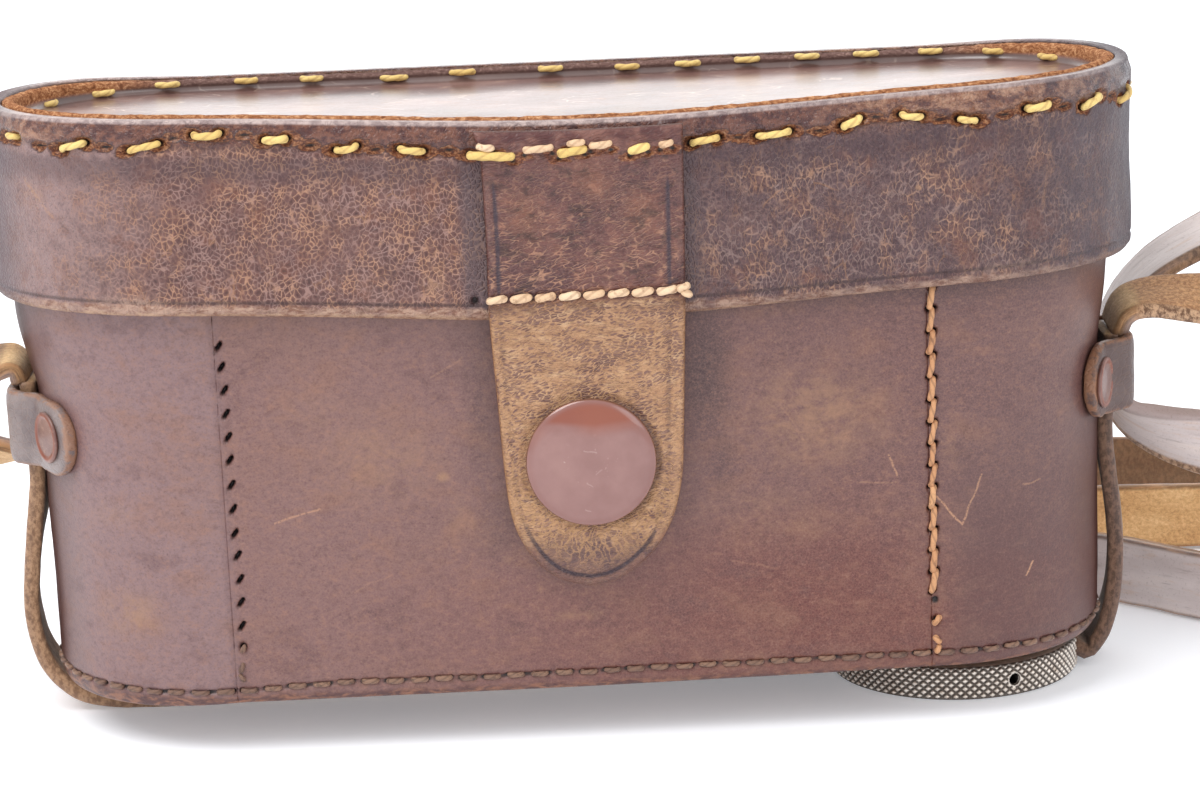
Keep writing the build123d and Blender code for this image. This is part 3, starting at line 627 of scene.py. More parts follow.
def rim_dz(x, y):
    front = -1.1 + 2.6 * (1 - np.exp(-((x - 3) / 40.0) ** 2))
    back = -0.6 + 1.6 * step(50, 78, np.abs(x))
    t = step(-12, 20, y)
    return front * (1 - t) + back * t


def skirt_dz(x, y):
    front = rim_dz(x, y - 100) - 0.4 * np.exp(-((x - 3) / 30.0) ** 2)
    t = step(-12, 20, y)
    return front * (1 - t)


def lid_dz(x, y, z):
    t = np.clip((z - LZ0) / (LZ1 - LZ0), 0, 1)
    return skirt_dz(x, y) * (1 - t) + rim_dz(x, y) * t


def body_dx(x, y, z):
    w = np.sign(x) * step(46.5, 56, np.abs(x))
    flare = 1.6 * np.clip((z - 48) / 22, 0, 1)
    left = 0.6 + 1.6 * step(44, 58, z) - 1.2 * step(60, 66, z)
    right = 0.1 + 0.5 * step(46, 56, z) - 0.6 * step(59, 63, z)
    return w * (flare + np.where(x < 0, left, right))


def body_dz(x, y, z):
    b = np.interp(x, [-76, -60, -45, 0, 50, 76], [-1.0, -0.8, -0.2, 0.0, 0.5, 0.4])
    return b * (1 - step(-12, 16, y)) * (1 - step(8, 26, z))


def spaced(a, b, fine, coarse, marks, reach=1.5):
    """Values from a to b, close together near the marks."""
    out, v = [a], a
    marks = np.asarray(marks, float)
    while v < b - 1e-6:
        gap = np.abs(marks - v).min() if len(marks) else 1e9
        v = v + (fine if gap < reach else coarse)
        out.append(min(v, b))
    out = np.array(out)
    if len(out) > 2 and out[-1] - out[-2] < fine * 0.4:
        out = np.delete(out, -2)
    return out


rnd = np.random.RandomState(7)

# base stitch course: (start, end, z) along the body's outline
base_x = [-75, -60, -45, -33, -11, 15, 56, 70, 76]
base_z = [8.6, 8.6, 8.8, 9.4, 9.4, 9.7, 9.7, 9.1, 9.0]
BASE_ST = []
v = -BL / 2 + 1.0
while v < BL / 2 - 3.4:
    xm = float(outline(BW, BD, BR, v + 1)[0])
    ym = float(outline(BW, BD, BR, v + 1)[1])
    zz = float(np.interp(xm, base_x, base_z)) if ym < 5 else 9.0
    BASE_ST.append((v, v + 2.15, zz + rnd.uniform(-0.08, 0.08)))
    v += 3.2 + rnd.uniform(-0.12, 0.12)
BASE_ENDS = np.array([(a, z) for a, b, z in BASE_ST] + [(b, z) for a, b, z in BASE_ST])

# left seam: slots whose thread has gone, (x, z)
L_SLOTS = np.array([(-45.9, 55.8), (-45.7, 53.0), (-45.5, 49.9), (-45.5, 46.7), (-45.4, 43.6), (-45.4, 40.5), (-45.4, 37.1),
                    (-45.4, 33.8), (-45.4, 30.5), (-45.2, 27.5), (-45.1, 24.2), (-45.2, 21.0), (-45.3, 17.7)])
# right seam: stitches (x, z of the middle)
R_Z = [58.3, 55.3, 52.25, 49.1, 46.0, 43.0, 40.05, 37.1, 34.2, 31.3, 28.35, 25.4, 22.5, 19.7]
R_ST = [(47.0 - 0.004 * (58 - z), z) for z in R_Z]


def near(s, z, marks, rs, rz):
    """Greatest gaussian of the distance to the marks."""
    out = np.zeros(len(s))
    for ms, mz in marks:
        sel = (np.abs(s - ms) < 3 * rs) & (np.abs(z - mz) < 3 * rz)
        if sel.any():
            g = np.exp(-((s[sel] - ms) / rs) ** 2 - ((z[sel] - mz) / rz) ** 2)
            out[sel] = np.maximum(out[sel], g)
    return out


def body_shape(s, z, off, k, x, y):
    sp = (s + BL / 2) % BL - BL / 2
    q = np.stack([x, y, z], -1)
    ny = outline(BW, BD, BR, s)[3]
    relief = bulge(x) * np.clip(-ny, 0, 1) ** 0.7
    relief = relief + 0.22 * fbm(q, (26, 26, 18), 2, 11) + 0.05 * fbm(q, 5, 3, 12) + 0.018 * fbm(q, 1.2, 2, 13)
    zact = z + body_dz(x, y, z)
    holes = near(sp, zact, BASE_ENDS[np.abs(BASE_ENDS[:, 0] - 0) < 400], 0.34, 0.34)
    zline = np.where(y < 5, np.interp(x, base_x, base_z), 9.0)
    groove = np.exp(-((zact - zline) / 0.42) ** 2)
    relief = relief - 0.16 * groove - 0.55 * holes
    # the bottom edge rolls in
    relief = relief - 0.45 * (1 - step(7.0, 9.2, z)) ** 2
    # slanted slots of the left seam
    u, w = sp - 0.0, zact
    slot = np.zeros(len(s))
    for mx, mz in L_SLOTS:
        du, dw = u - mx, w - mz
        sel = (np.abs(du) < 1.4) & (np.abs(dw) < 1.6)
        if sel.any():
            a = math.radians(52)
            p1 = du[sel] * math.cos(a) + dw[sel] * math.sin(a)
            p2 = -du[sel] * math.sin(a) + dw[sel] * math.cos(a)
            g = np.exp(-(p1 / 0.72) ** 4 - (p2 / 0.27) ** 4)
            slot[sel] = np.maximum(slot[sel], g)
    lips = near(sp, zact, L_SLOTS, 1.1, 1.1)
    relief = relief - 1.3 * slot + 0.10 * lips * (1 - slot)
    # the right seam's stitches sit in small slots
    rs = np.zeros(len(s))
    for mx, mz in R_ST:
        for e in (-1.35, 1.35):
            du, dw = u - mx - e * 0.18, w - mz - e
            sel = (np.abs(du) < 1.2) & (np.abs(dw) < 1.2)
            if sel.any():
                a = math.radians(40)
                p1 = du[sel] * math.cos(a) + dw[sel] * math.sin(a)
                p2 = -du[sel] * math.sin(a) + dw[sel] * math.cos(a)
                rs[sel] = np.maximum(rs[sel], np.exp(-(p1 / 0.62) ** 4 - (p2 / 0.3) ** 4))
    relief = relief - 0.95 * rs
    for mx, mz in ((47.0, 17.1), (-45.3, 14.9), (47.1, 14.3)):
        h = near(sp, zact, [(mx, mz)], 0.5, 0.5)
        relief = relief - 0.8 * h
        slot = np.maximum(slot, h)
    # edges of both pieces round over into the seams
    ds = np.abs(np.abs(sp) - SEAM)
    relief = relief - 0.10 * np.clip(1 - ds / 0.35, 0, 1) ** 2 - 0.10 * np.exp(-((np.abs(sp) - SEAM + 0.6) / 1.1) ** 2)
    hole = np.maximum(np.maximum(slot, rs), holes * 0.9) * k
    return relief, body_dx(x, y, z), body_dz(x, y, z), dict(hole=hole, seam=np.exp(-(ds / 0.8) ** 2) * k, face=k, stitch=groove * k)


body_rows = section(np.concatenate([np.linspace(7.7, 11.0, 17), np.linspace(11.4, 60.0, 122), np.linspace(60.8, 69.4, 12)]), WALL, 0.6, inner=14, n=3)
marks_s = [-SEAM, SEAM, -45.5, 46.9]
front_s = spaced(-SEAM, SEAM, 0.16, 0.62, marks_s)
wrap_s = np.concatenate([
    spaced(SEAM, 92.0, 0.18, 0.7, [SEAM, 46.9]), spaced(93.2, BL - 93.2, 1.4, 1.4, []),
    spaced(BL - 92.0, BL - SEAM, 0.18, 0.7, [BL - SEAM]),
])
body_front = wall("body_front", (BW, BD, BR), front_s, body_rows, body_shape, False, body="case_body",
                  replaces=["body_front_panel"], slot="leather_body")
body_wrap = wall("body_wrap", (BW, BD, BR), wrap_s, body_rows, body_shape, False, body="case_body",
                 replaces=["body_back_wrap"], slot="leather_body")


def body_point(s, z, lift):
    """Actual place on the body's outside, z as it is in the picture."""
    s = np.atleast_1d(np.asarray(s, float))
    z = np.broadcast_to(np.asarray(z, float), s.shape)
    x, y, nx, ny = outline(BW, BD, BR, s)
    q = np.stack([x, y, z], -1)
    d = bulge(x) * np.clip(-ny, 0, 1) ** 0.7 + 0.22 * fbm(q, (26, 26, 18), 2, 11) + np.asarray(lift)
    return np.stack([x + nx * d + body_dx(x, y, z), y + ny * d, z], -1)


def body_out(s):
    x, y, nx, ny = outline(BW, BD, BR, np.atleast_1d(float(s)))
    return np.array([nx[0], ny[0], 0.0])


bt = Parts()
for i, (a, b, z) in enumerate(BASE_ST):
    m = (a + b) / 2
    S = [a + 0.12, a + 0.35, m, b - 0.35, b - 0.12]
    pts = body_point(S, z, [-0.7, -0.02, 0.10, -0.02, -0.7])
    thread(bt, pts, 0.34 + rnd.uniform(-0.03, 0.03), body_out(m), seed=i * 1.7, tone=rnd.uniform(0, 1))
bt.done("base_stitches", body="case_body", replaces=["base_thread"], slot="thread_dark")

rt_ = Parts()
for i, (x, z) in enumerate(R_ST):
    j = rnd.uniform(-0.08, 0.08)
    k = 0.20 + rnd.uniform(-0.08, 0.10)
    pts = body_point([x - k * 1.3 + j, x - k + j, x + rnd.uniform(-0.06, 0.06), x + k + j, x + k * 1.3 + j], [z - 1.45, z - 1.15, z, z + 1.15, z + 1.45],
                     [-0.75, 0.0, 0.20, 0.0, -0.75])
    thread(rt_, pts, 0.385 + rnd.uniform(-0.03, 0.04), body_out(x), seed=i * 2.1, tone=rnd.uniform(0, 1), fat=1.0)
for x, z, dx, dz in ((47.2, 14.3, 0.5, 0.6), (47.15, 11.6, -0.4, 0.5), (47.3, 10.3, 0.3, 0.5)):
    pts = body_point([x - dx, x - dx / 2, x, x + dx], [z - dz, z - dz / 2, z, z + dz], [-0.6, 0.1, 0.2, -0.4])
    thread(rt_, pts, 0.4, body_out(x), seed=x, tone=0.3)
rt_.done("right_seam_stitches", body="case_body", replaces=["right_seam_thread"], slot="thread_orange")

lt = Parts()
for i, (x, z, dx, dz) in enumerate(((-45.6, 12.0, 0.3, 0.7), (-45.7, 10.6, -0.35, 0.5), (-45.3, 14.6, 0.2, 0.45))):
    pts = body_point([x - dx, x - dx / 2, x, x + dx], [z - dz, z - dz / 2, z, z + dz], [-0.6, 0.0, 0.1, -0.5])
    thread(lt, pts, 0.33, body_out(x), seed=x, tone=0.2 * i)
lt.done("left_seam_stitches", body="case_body", replaces=["left_seam_thread"], slot="thread_dark")

# ------------------------------------------------------------------- the lid
# rim stitches, (s, z) of each end, z as it is in the picture
RIM = [(-76, 83.3, -73.4, 83.4), (-65.5, 82.4, -61.6, 83.2), (-55.5, 82.3, -51.3, 83.1), (-47.1, 84.0, -43.4, 84.1),
       (-38.1, 83.0, -35.0, 83.1), (-29.1, 81.4, -26.1, 81.8), (-21.0, 81.2, -17.7, 80.8), (-11.9, 80.2, -6.3, 79.5),
       (-0.5, 79.7, 2.1, 80.2), (8.2, 79.5, 10.7, 80.3), (16.2, 80.4, 19.9, 80.9), (24.7, 80.9, 29.1, 81.35),
       (35.6, 81.7, 38.1, 82.6), (43.1, 82.8, 46.0, 82.5), (50.5, 81.9, 53.1, 81.6), (59.9, 82.6, 63.5, 82.9),
       (69.4, 81.8, 73.1, 82.9), (79.5, 81.3, 84, 82.5)]
v = 93.0
while v < LL - 90:
    RIM.append((v, 81.6 + rnd.uniform(-0.4, 0.4), v + 3.3 + rnd.uniform(-0.4, 0.4), 81.7 + rnd.uniform(-0.4, 0.4)))
    v += 9.6 + rnd.uniform(-0.7, 0.7)
# the flap covers these; they are drawn on it
ON_FLAP = lambda s: -11.95 < s < 15.0
RIM_ENDS = np.array([(((a + LL / 2) % LL) - LL / 2, z) for a, z, _, _ in RIM] + [(((b + LL / 2) % LL) - LL / 2, z) for _, _, b, z in RIM])
TEARS = np.array([(((v + LL / 2) % LL) - LL / 2, z) for v, z in
                  [((a[2] + b[0]) / 2 + rnd.uniform(-0.6, 0.6), (a[3] + b[1]) / 2 + rnd.uniform(-0.5, 0.3)) for a, b in zip(RIM[:-1], RIM[1:])]])


def torn_at(sp, zact, q):
    """How far the grain is torn away round the rim stitches, 0 to 1, with a ragged edge."""
    n1 = fbm(q, (1.6, 1.6, 1.1), 3, 41)
    a = near(sp, zact, RIM_ENDS, 1.75, 1.0)
    b = near(sp, zact, TEARS, 1.5, 0.75)
    return step(0.30, 0.52, np.maximum(a, b * 0.95) + 0.34 * n1)


def lid_relief(s, z, x, y, ny, fine=True):
    q = np.stack([x, y, z], -1)
    r = bulge(x) * np.clip(-ny, 0, 1) ** 0.7 + 0.2 * fbm(q, (22, 22, 14), 2, 21)
    if fine:
        r = r + 0.07 * fbm(q, (3.5, 3.5, 5), 3, 22) + 0.03 * fbm(q, (1.0, 1.0, 1.6), 2, 23)
    return r


def lid_shape(s, z, off, k, x, y):
    sp = (s + LL / 2) % LL - LL / 2
    q = np.stack([x, y, z], -1)
    ny = outline(LW, LD, LR, s)[3]
    dz = lid_dz(x, y, z)
    zact = z + dz
    relief = lid_relief(s, z, x, y, ny)
    torn = torn_at(sp, zact, q)
    hole = near(sp, zact, RIM_ENDS, 0.62, 0.5)
    hole = np.maximum(hole, 1.2 * near(sp, zact, [(-12.2, 61.15)], 0.50, 0.50))
    slit = near(sp, zact, TEARS, 0.9, 0.22)
    lip = near(sp, zact, RIM_ENDS, 1.6, 1.1)
    ragged = fbm(q, (0.8, 0.8, 0.6), 3, 42)
    relief = relief + 0.22 * lip * (1 - hole) - torn * (0.22 + 0.16 * ragged) - 0.95 * hole - 0.5 * slit
    # a creased line just above the lower edge, and a soft roll at both edges
    relief = relief - 0.16 * np.exp(-((z - (LZ0 + 1.55)) / 0.24) ** 2) - 0.22 * (1 - step(LZ0, LZ0 + 1.0, z))
    relief = relief - 0.50 * step(LZ1 - 2.6, LZ1 - 0.1, z) ** 1.6
    zone = step(79.8, 81.2, z)
    relief = relief + zone * (0.16 * fbm(q, (2.4, 2.4, 2.0), 2, 44) - 0.26 * near(sp, zact, RIM_ENDS, 1.7, 1.9))
    # the ends have pulled in a little at mid height on the right
    relief = relief - 0.35 * np.exp(-((z - 73) / 6) ** 2) * step(60, 74, x) + 0.6 * step(-62, -74, x) * 0.9
    relief = relief + 0.05 * np.clip(fbm(q, (3, 3, 1.2), 3, 43), -1, 1) * (1 - step(LZ0, LZ0 + 0.9, z)) * 4
    # the back of the skirt is cut up between the hinge's ends
    lift = 4.1 * (1 - step(57, 62, np.abs(x))) * step(5, 12, y)
    t = np.clip((z - LZ0) / (LZ1 - LZ0), 0, 1)
    # nothing of the relief inside the wall
    return relief, np.zeros(len(s)), dz + lift * (1 - t), dict(
        torn=torn * k, hole=np.maximum(hole, slit) * k, face=k, inner=(off > WALL - 0.05) * 1.0)


lid_rows = section(np.concatenate([np.linspace(60.05, 62.0, 8), np.linspace(62.4, 77.6, 36), np.linspace(77.9, 84.4, 26)]), WALL, 0.55, inner=6, n=4)
lid_s = np.concatenate([
    spaced(-95.0, 95.0, 0.36, 0.62, [m for m in np.concatenate([RIM_ENDS[:, 0], TEARS[:, 0], [-12.2]]) if abs(m) < 92], 1.6),
    spaced(96.4, LL - 96.4, 1.5, 1.5, []),
])
lid_band = wall("lid_band_leather", (LW, LD, LR), lid_s, lid_rows, lid_shape, True, body="lid",
                replaces=["lid_band"], slot="leather_lid")


def lid_point(s, z, lift):
    s = np.atleast_1d(np.asarray(s, float))
    z = np.broadcast_to(np.asarray(z, float), s.shape)
    x, y, nx, ny = outline(LW, LD, LR, s)
    zr = z - lid_dz(x, y, z)
    d = lid_relief(s, zr, x, y, ny, fine=False) - 0.50 * step(LZ1 - 2.6, LZ1 - 0.1, zr) ** 1.6 + np.asarray(lift)
    return np.stack([x + nx * d, y + ny * d, z], -1)


def lid_out(s):
    x, y, nx, ny = outline(LW, LD, LR, np.atleast_1d(float(s)))
    return np.array([nx[0], ny[0], 0.0])


rim_t = Parts()
for i, (a, za, b, zb) in enumerate(RIM):
    if ON_FLAP((a + b) / 2):
        continue
    m = (a + b) / 2
    w = b - a
    sag = rnd.uniform(-0.15, 0.2)
    pts = lid_point([a + 0.25, a + 0.35, a + 0.25 * w, m, b - 0.25 * w, b - 0.35, b - 0.25],
                    [za - 0.05, za, za + 0.25 * (zb - za) + sag, (za + zb) / 2 + sag, zb - 0.25 * (zb - za) + sag, zb, zb - 0.05],
                    [-1.0, -0.25, 0.22, 0.34, 0.22, -0.25, -1.0])
    thread(rim_t, pts, 0.48 + rnd.uniform(-0.06, 0.05), lid_out(m), seed=i * 1.3, tone=rnd.uniform(0, 1), fat=1.0)
# the same thread seen inside the rim at the back, and over the rim in front
for i, (x, z) in enumerate(((-70.8, 83.1), (-64.4, 83.4), (-55.7, 83.9), (-44.5, 84.0), (-35.2, 83.9), (-23.4, 83.5),
                            (-13.6, 83.9), (-1.0, 83.9), (10.0, 83.7), (18.7, 83.8), (27.2, 84.0), (35.8, 84.1),
                            (44.3, 84.3), (53.5, 84.5), (62.1, 84.3), (69.0, 83.4))):
    yy = LD / 2 - WALL - 1.8
    c = LW / 2 - LR
    if abs(x) > c:
        rr = LR - WALL - 1.8
        yy = (LD / 2 - LR) + math.sqrt(max(rr * rr - (abs(x) - c) ** 2, 4))
    zz = z + float(rim_dz(np.array([x]), np.array([yy]))[0]) * 0.35
    n = unit(np.array([0 if abs(x) < c else (c - abs(x)) * np.sign(x), (LD / 2 - LR) - yy, 0.0]))
    t = np.array([-n[1], n[0], 0.0])
    w = 1.5 + rnd.uniform(-0.2, 0.4)
    base = np.array([x, yy, min(zz, 83.9)])
    pts = [base - t * w - n * 0.5, base - t * w * 0.8 + n * 0.1, base + n * 0.5, base + t * w * 0.8 + n * 0.1, base + t * w - n * 0.5]
    thread(rim_t, pts, 0.44, n, seed=i, tone=rnd.uniform(0, 1))

# recessed top: flange and plate in one piece of leather
PT, FT = 82.6, 1.8
ts = np.concatenate([spaced(-95.0, 95.0, 0.8, 0.8, []), spaced(96.2, LL - 96.2, 1.2, 1.2, [])])
x, y, nx, ny = outline(LW, LD, LR, ts)
prof = []       # (inward offset, z) from the flange's outer bottom round the rim, down to the plate
o0 = WALL + 0.06
prof += [(o0 + 0.6, 80.45), (o0 + 0.1, 80.7), (o0, 81.2), (o0, 82.2), (o0, 83.2), (o0, 84.1), (o0 + 0.12, 84.5), (o0 + 0.4, 84.75)]
prof += [(o0 + 0.7, 84.8), (o0 + 1.0, 84.8), (o0 + 1.35, 84.72), (o0 + 1.65, 84.5), (o0 + FT, 84.15), (o0 + FT + 0.02, 83.7)]
prof += [(o0 + FT + 0.06, 83.3), (o0 + FT + 0.2, 82.95), (o0 + FT + 0.5, 82.7), (o0 + FT + 1.0, 82.62)]
prof = np.array(prof)
top_rings = [(1 - t) for t in np.linspace(0.03, 0.97, 30)]
under = [(1 - t) for t in np.linspace(0.97, 0.03, 10)]
rings, ringz, kind = [], [], []
for off, z in prof:
    rings.append((x - nx * off, y - ny * off))
    ringz.append(np.full(len(ts), z))
    kind.append(1.0 if z > 83.0 else 0.0)
bx, by = rings[-1]
for f in top_rings:
    rings.append((bx * (0.35 + 0.65 * f) if False else np.sign(bx) * np.maximum(np.abs(bx) - (1 - f) * 24.0, 0) * 1.0 + 0 * bx, by * f))
    ringz.append(np.full(len(ts), PT))
    kind.append(0.0)
co = []
for (rx, ry), z, kk in zip(rings, ringz, kind):
    co.append(np.stack([rx, ry, z], -1))
n_top = len(co)
co = np.stack(co, 1)            # column, ring, xyz
ux, uy = co[:, -1, 0], co[:, -1, 1]
low = []
for f in np.linspace(0.03, 1.0, 8):
    low.append(np.stack([ux + (rings[0][0] - ux) * f, uy + (rings[0][1] - uy) * f, np.full(len(ts), 80.42)], -1))
low = np.stack(low[:-1], 1)
allr = np.concatenate([co, low], 1)
nr = allr.shape[1]
flat = allr.reshape(-1, 3)
zf = flat[:, 2]
q = flat.copy()
rimk = step(83.2, 84.4, zf)
is_top = np.tile(np.concatenate([np.ones(n_top), np.zeros(low.shape[1])]), len(ts))
plate = np.tile(np.concatenate([step(len(prof) - 3, len(prof) + 2, np.arange(n_top)), np.zeros(low.shape[1])]), len(ts))
dz = rim_dz(q[:, 0], q[:, 1]) * (0.35 + 0.65 * rimk)
dz = dz + plate * (0.35 * fbm(q, (30, 20, 10), 2, 51) - 0.9 * np.exp(-(q[:, 0] / 45) ** 2 - (q[:, 1] / 16) ** 2))
dz = dz + rimk * (0.16 * fbm(q, (1.1, 1.1, 1.1), 3, 52) - 0.08 + 0.55 * (1 - step(-8, 6, q[:, 1])))
flat = flat + np.stack([np.zeros(len(dz)), -bulge(q[:, 0]) * (1 - step(-26, -18, q[:, 1])) * is_top, dz], -1)
rag = rimk * 0.12 * fbm(q, (0.7, 0.7, 0.5), 2, 53)
cx = np.clip(q[:, 0], -(LW / 2 - LR), LW / 2 - LR)
out_dir = unit(np.stack([q[:, 0] - cx, q[:, 1] - np.clip(q[:, 1], -1.75, 1.75), np.zeros(len(cx))], -1))
flat = flat + out_dir * rag[:, None]
quads = grid(len(ts), nr, close_u=True, close_v=True)
# leave the middle open on both faces and close each with a strip between its front and back halves
mid_top, mid_low = n_top - 1, n_top
keep = ~((quads % nr == mid_top).any(1) & (quads % nr == mid_low).any(1))
quads = quads[keep]


def zipped(ring_k, up):
    """Close the thin loop of ring ring_k by a strip between its front and back halves."""
    pts = flat.reshape(len(ts), nr, 3)[:, ring_k]
    ids = np.arange(len(ts)) * nr + ring_k
    lo, hi = int(np.argmin(pts[:, 0])), int(np.argmax(pts[:, 0]))
    n = len(ts)
    f = [(lo + k) % n for k in range((hi - lo) % n + 1)]
    b = [(lo - k) % n for k in range((lo - hi) % n + 1)]
    out, a, c = [], 0, 0
    while a < len(f) - 1 or c < len(b) - 1:
        step_front = c == len(b) - 1 or (a < len(f) - 1 and pts[f[a + 1], 0] <= pts[b[c + 1], 0])
        if step_front:
            tri = (f[a], f[a + 1], b[c])
            a += 1
        else:
            tri = (f[a], b[c + 1], b[c])
            c += 1
        if len(set(tri)) == 3:
            out.append(tri if up else tri[::-1])
    return ids[np.array(out)]


tris = np.concatenate([zipped(mid_top, True), zipped(mid_low, False)])
rim_attr, plate_attr = rimk, plate
make("lid_top", flat, quads, tris, dict(rim=rim_attr, plate=plate_attr), body="lid", replaces=["lid_top_panel"], slot="leather_lid")


# --------------------------------------------------------- hinge at the back
def closed_strip(name, prof, xs, relief, **kw):
    """A (y, z) loop carried along X, capped at both ends."""
    prof = np.asarray(prof, float)
    n, m = len(xs), len(prof)
    X = np.repeat(xs, m)
    Y, Z = np.tile(prof[:, 0], n), np.tile(prof[:, 1], n)
    g = np.roll(prof, -1, 0) - np.roll(prof, 1, 0)
    nrm = unit(np.stack([g[:, 1], -g[:, 0]], -1))
    d = relief(X, Y, Z)
    co = np.stack([X, Y + np.tile(nrm[:, 0], n) * d, Z + np.tile(nrm[:, 1], n) * d], -1)
    c0, c1 = co[:m].mean(0), co[-m:].mean(0)
    # a long thin end is closed by a strip between its two sides
    quads = grid(n, m, close_v=True)
    h = m // 2
    ends = []
    for base, flip in ((0, False), ((n - 1) * m, True)):
        for k in range(h - 1):
            a = [base + k, base + k + 1, base + m - 2 - k, base + m - 1 - k]
            ends.append(a[::-1] if flip else a)
    quads = np.vstack([quads, np.array(ends)])
    return make(name, co, quads, None, {}, **kw)


cl = catmull([(26.02, 47.0), (26.02, 50.0), (26.02, 54.0), (26.05, 58.0), (26.35, 60.2), (27.35, 62.0), (28.6, 63.2),
              (29.25, 64.8), (29.32, 67.0), (29.32, 71.0), (29.32, 75.5)], 6)
tt = unit(np.gradient(cl, axis=0))
nn = np.stack([-tt[:, 1], tt[:, 0]], -1)
half = np.interp(np.linspace(0, 1, len(cl)), [0, 0.4, 0.62, 1], [0.74, 0.74, 1.0, 1.04])
taper = np.ones(len(cl))
taper[0] = taper[-1] = 0.35
taper[1] = taper[-2] = 0.85
outer = cl + nn * (half * taper)[:, None]
inner = cl - nn * (half * taper)[:, None]
loop = np.vstack([outer, inner[::-1]])
hinge_x = np.concatenate([[-42.0, -41.7], np.arange(-41, 41.01, 0.8), [41.7, 42.0]])


def hinge_relief(X, Y, Z):
    q = np.stack([X, Y, Z], -1)
    e = np.clip((42.0 - np.abs(X)) / 0.7, 0, 1)
    return 0.06 * fbm(q, 4, 3, 61) - 0.45 * (1 - e) ** 2 + 0.05 * np.sin(Z * 3.0) * np.exp(-((Z - 61.5) / 2.2) ** 2)


hinge = closed_strip("hinge_leather", loop, hinge_x, hinge_relief, replaces=["hinge_body_leaf", "hinge_lid_leaf"], slot="leather_lid")
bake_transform(hinge)

hb, hl = Parts(), Parts()
i = 0
for z, y, parts, side in ((49.0, 26.80, hb, 1), (73.2, 30.38, hl, 1), (66.2, 30.36, hl, 1)):
    v = -40.2
    while v < 38.6:
        pts = [(v, y - 0.5, z), (v + 0.25, y + 0.02, z), (v + 1.2, y + 0.16, z), (v + 2.15, y + 0.02, z), (v + 2.4, y - 0.5, z)]
        thread(parts, pts, 0.33, (0, 1, 0), seed=i, tone=rnd.uniform(0, 1))
        v += 3.3
        i += 1
hb.done("hinge_body_stitches", body="case_body", replaces=["hinge_body_thread"], slot="thread_dark")
hl.done("hinge_lid_stitches", body="lid", replaces=["hinge_lid_thread"], slot="thread_dark")

# ------------------------------------------------------------------ the flap
FLAP_EDGE_L = [(-11.9, 86.0), (-11.2, 82.9), (-10.7, 80.9), (-10.5, 74.5), (-10.4, 68.0), (-10.5, 61.5), (-10.3, 54.9),
               (-9.95, 48.3), (-9.7, 42.9), (-9.4, 37.6), (-8.9, 32.8), (-7.7, 28.9), (-5.3, 25.2), (-2.3, 23.0), (1.3, 22.1)]
FLAP_EDGE_R = [(15.3, 86.0), (15.25, 82.9), (15.2, 79.8), (15.1, 73.4), (15.0, 66.9), (14.85, 60.4), (14.6, 53.8),
               (14.35, 47.2), (14.1, 41.9), (13.7, 36.5), (12.5, 31.6), (10.4, 27.6), (7.7, 24.7), (4.6, 22.8), (1.3, 22.1)]
eL = catmull(FLAP_EDGE_L, 12)
eR = catmull(FLAP_EDGE_R, 12)
FLAP_T = 1.9
FTOP, FTIP = 84.1, 22.1


def flap_y(z):
    return np.interp(z, [20.0, 30.0, 51.0, 55.0, 58.6, 61.5, 90.0], [-27.9, -28.9, -28.95, -29.4, -30.05, -30.17, -30.17])


zr = np.concatenate([FTIP + 3.0 * np.linspace(0.02, 1, 20) ** 2, np.arange(FTIP + 3.3, FTOP - 1.2, 0.33), FTOP - np.array([1.0, 0.7, 0.45, 0.25, 0.1, 0.0])])
xl = np.interp(zr, eL[::-1, 1], eL[::-1, 0])
xr = np.interp(zr, eR[::-1, 1], eR[::-1, 0])
e0 = np.array([0, 0.04, 0.13, 0.28, 0.48, 0.75])
nmid = 76
cols = np.concatenate([e0, np.linspace(0.75, 25.0 - 0.75, nmid)[1:-1], 25.0 - e0[::-1]]) / 25.0
nu_ = len(cols)
X = xl[:, None] + (xr - xl)[:, None] * cols[None]
Z = np.repeat(zr[:, None], nu_, 1)
poly = np.vstack([eL[eL[:, 1] < FTOP], eR[eR[:, 1] < FTOP][::-1]])
poly = np.vstack([[[-11.5, FTOP]], poly, [[15.3, FTOP]]])
A, B = poly, np.roll(poly, -1, 0)
P2 = np.stack([X.ravel(), Z.ravel()], -1)
dist = np.full(len(P2), 1e9)
for a, b in zip(A, B):
    ab = b - a
    L2 = max(ab @ ab, 1e-9)
    t = np.clip(((P2 - a) @ ab) / L2, 0, 1)
    dist = np.minimum(dist, np.linalg.norm(P2 - a - t[:, None] * ab, axis=1))
D = dist
SNAP = (1.9, 39.4)


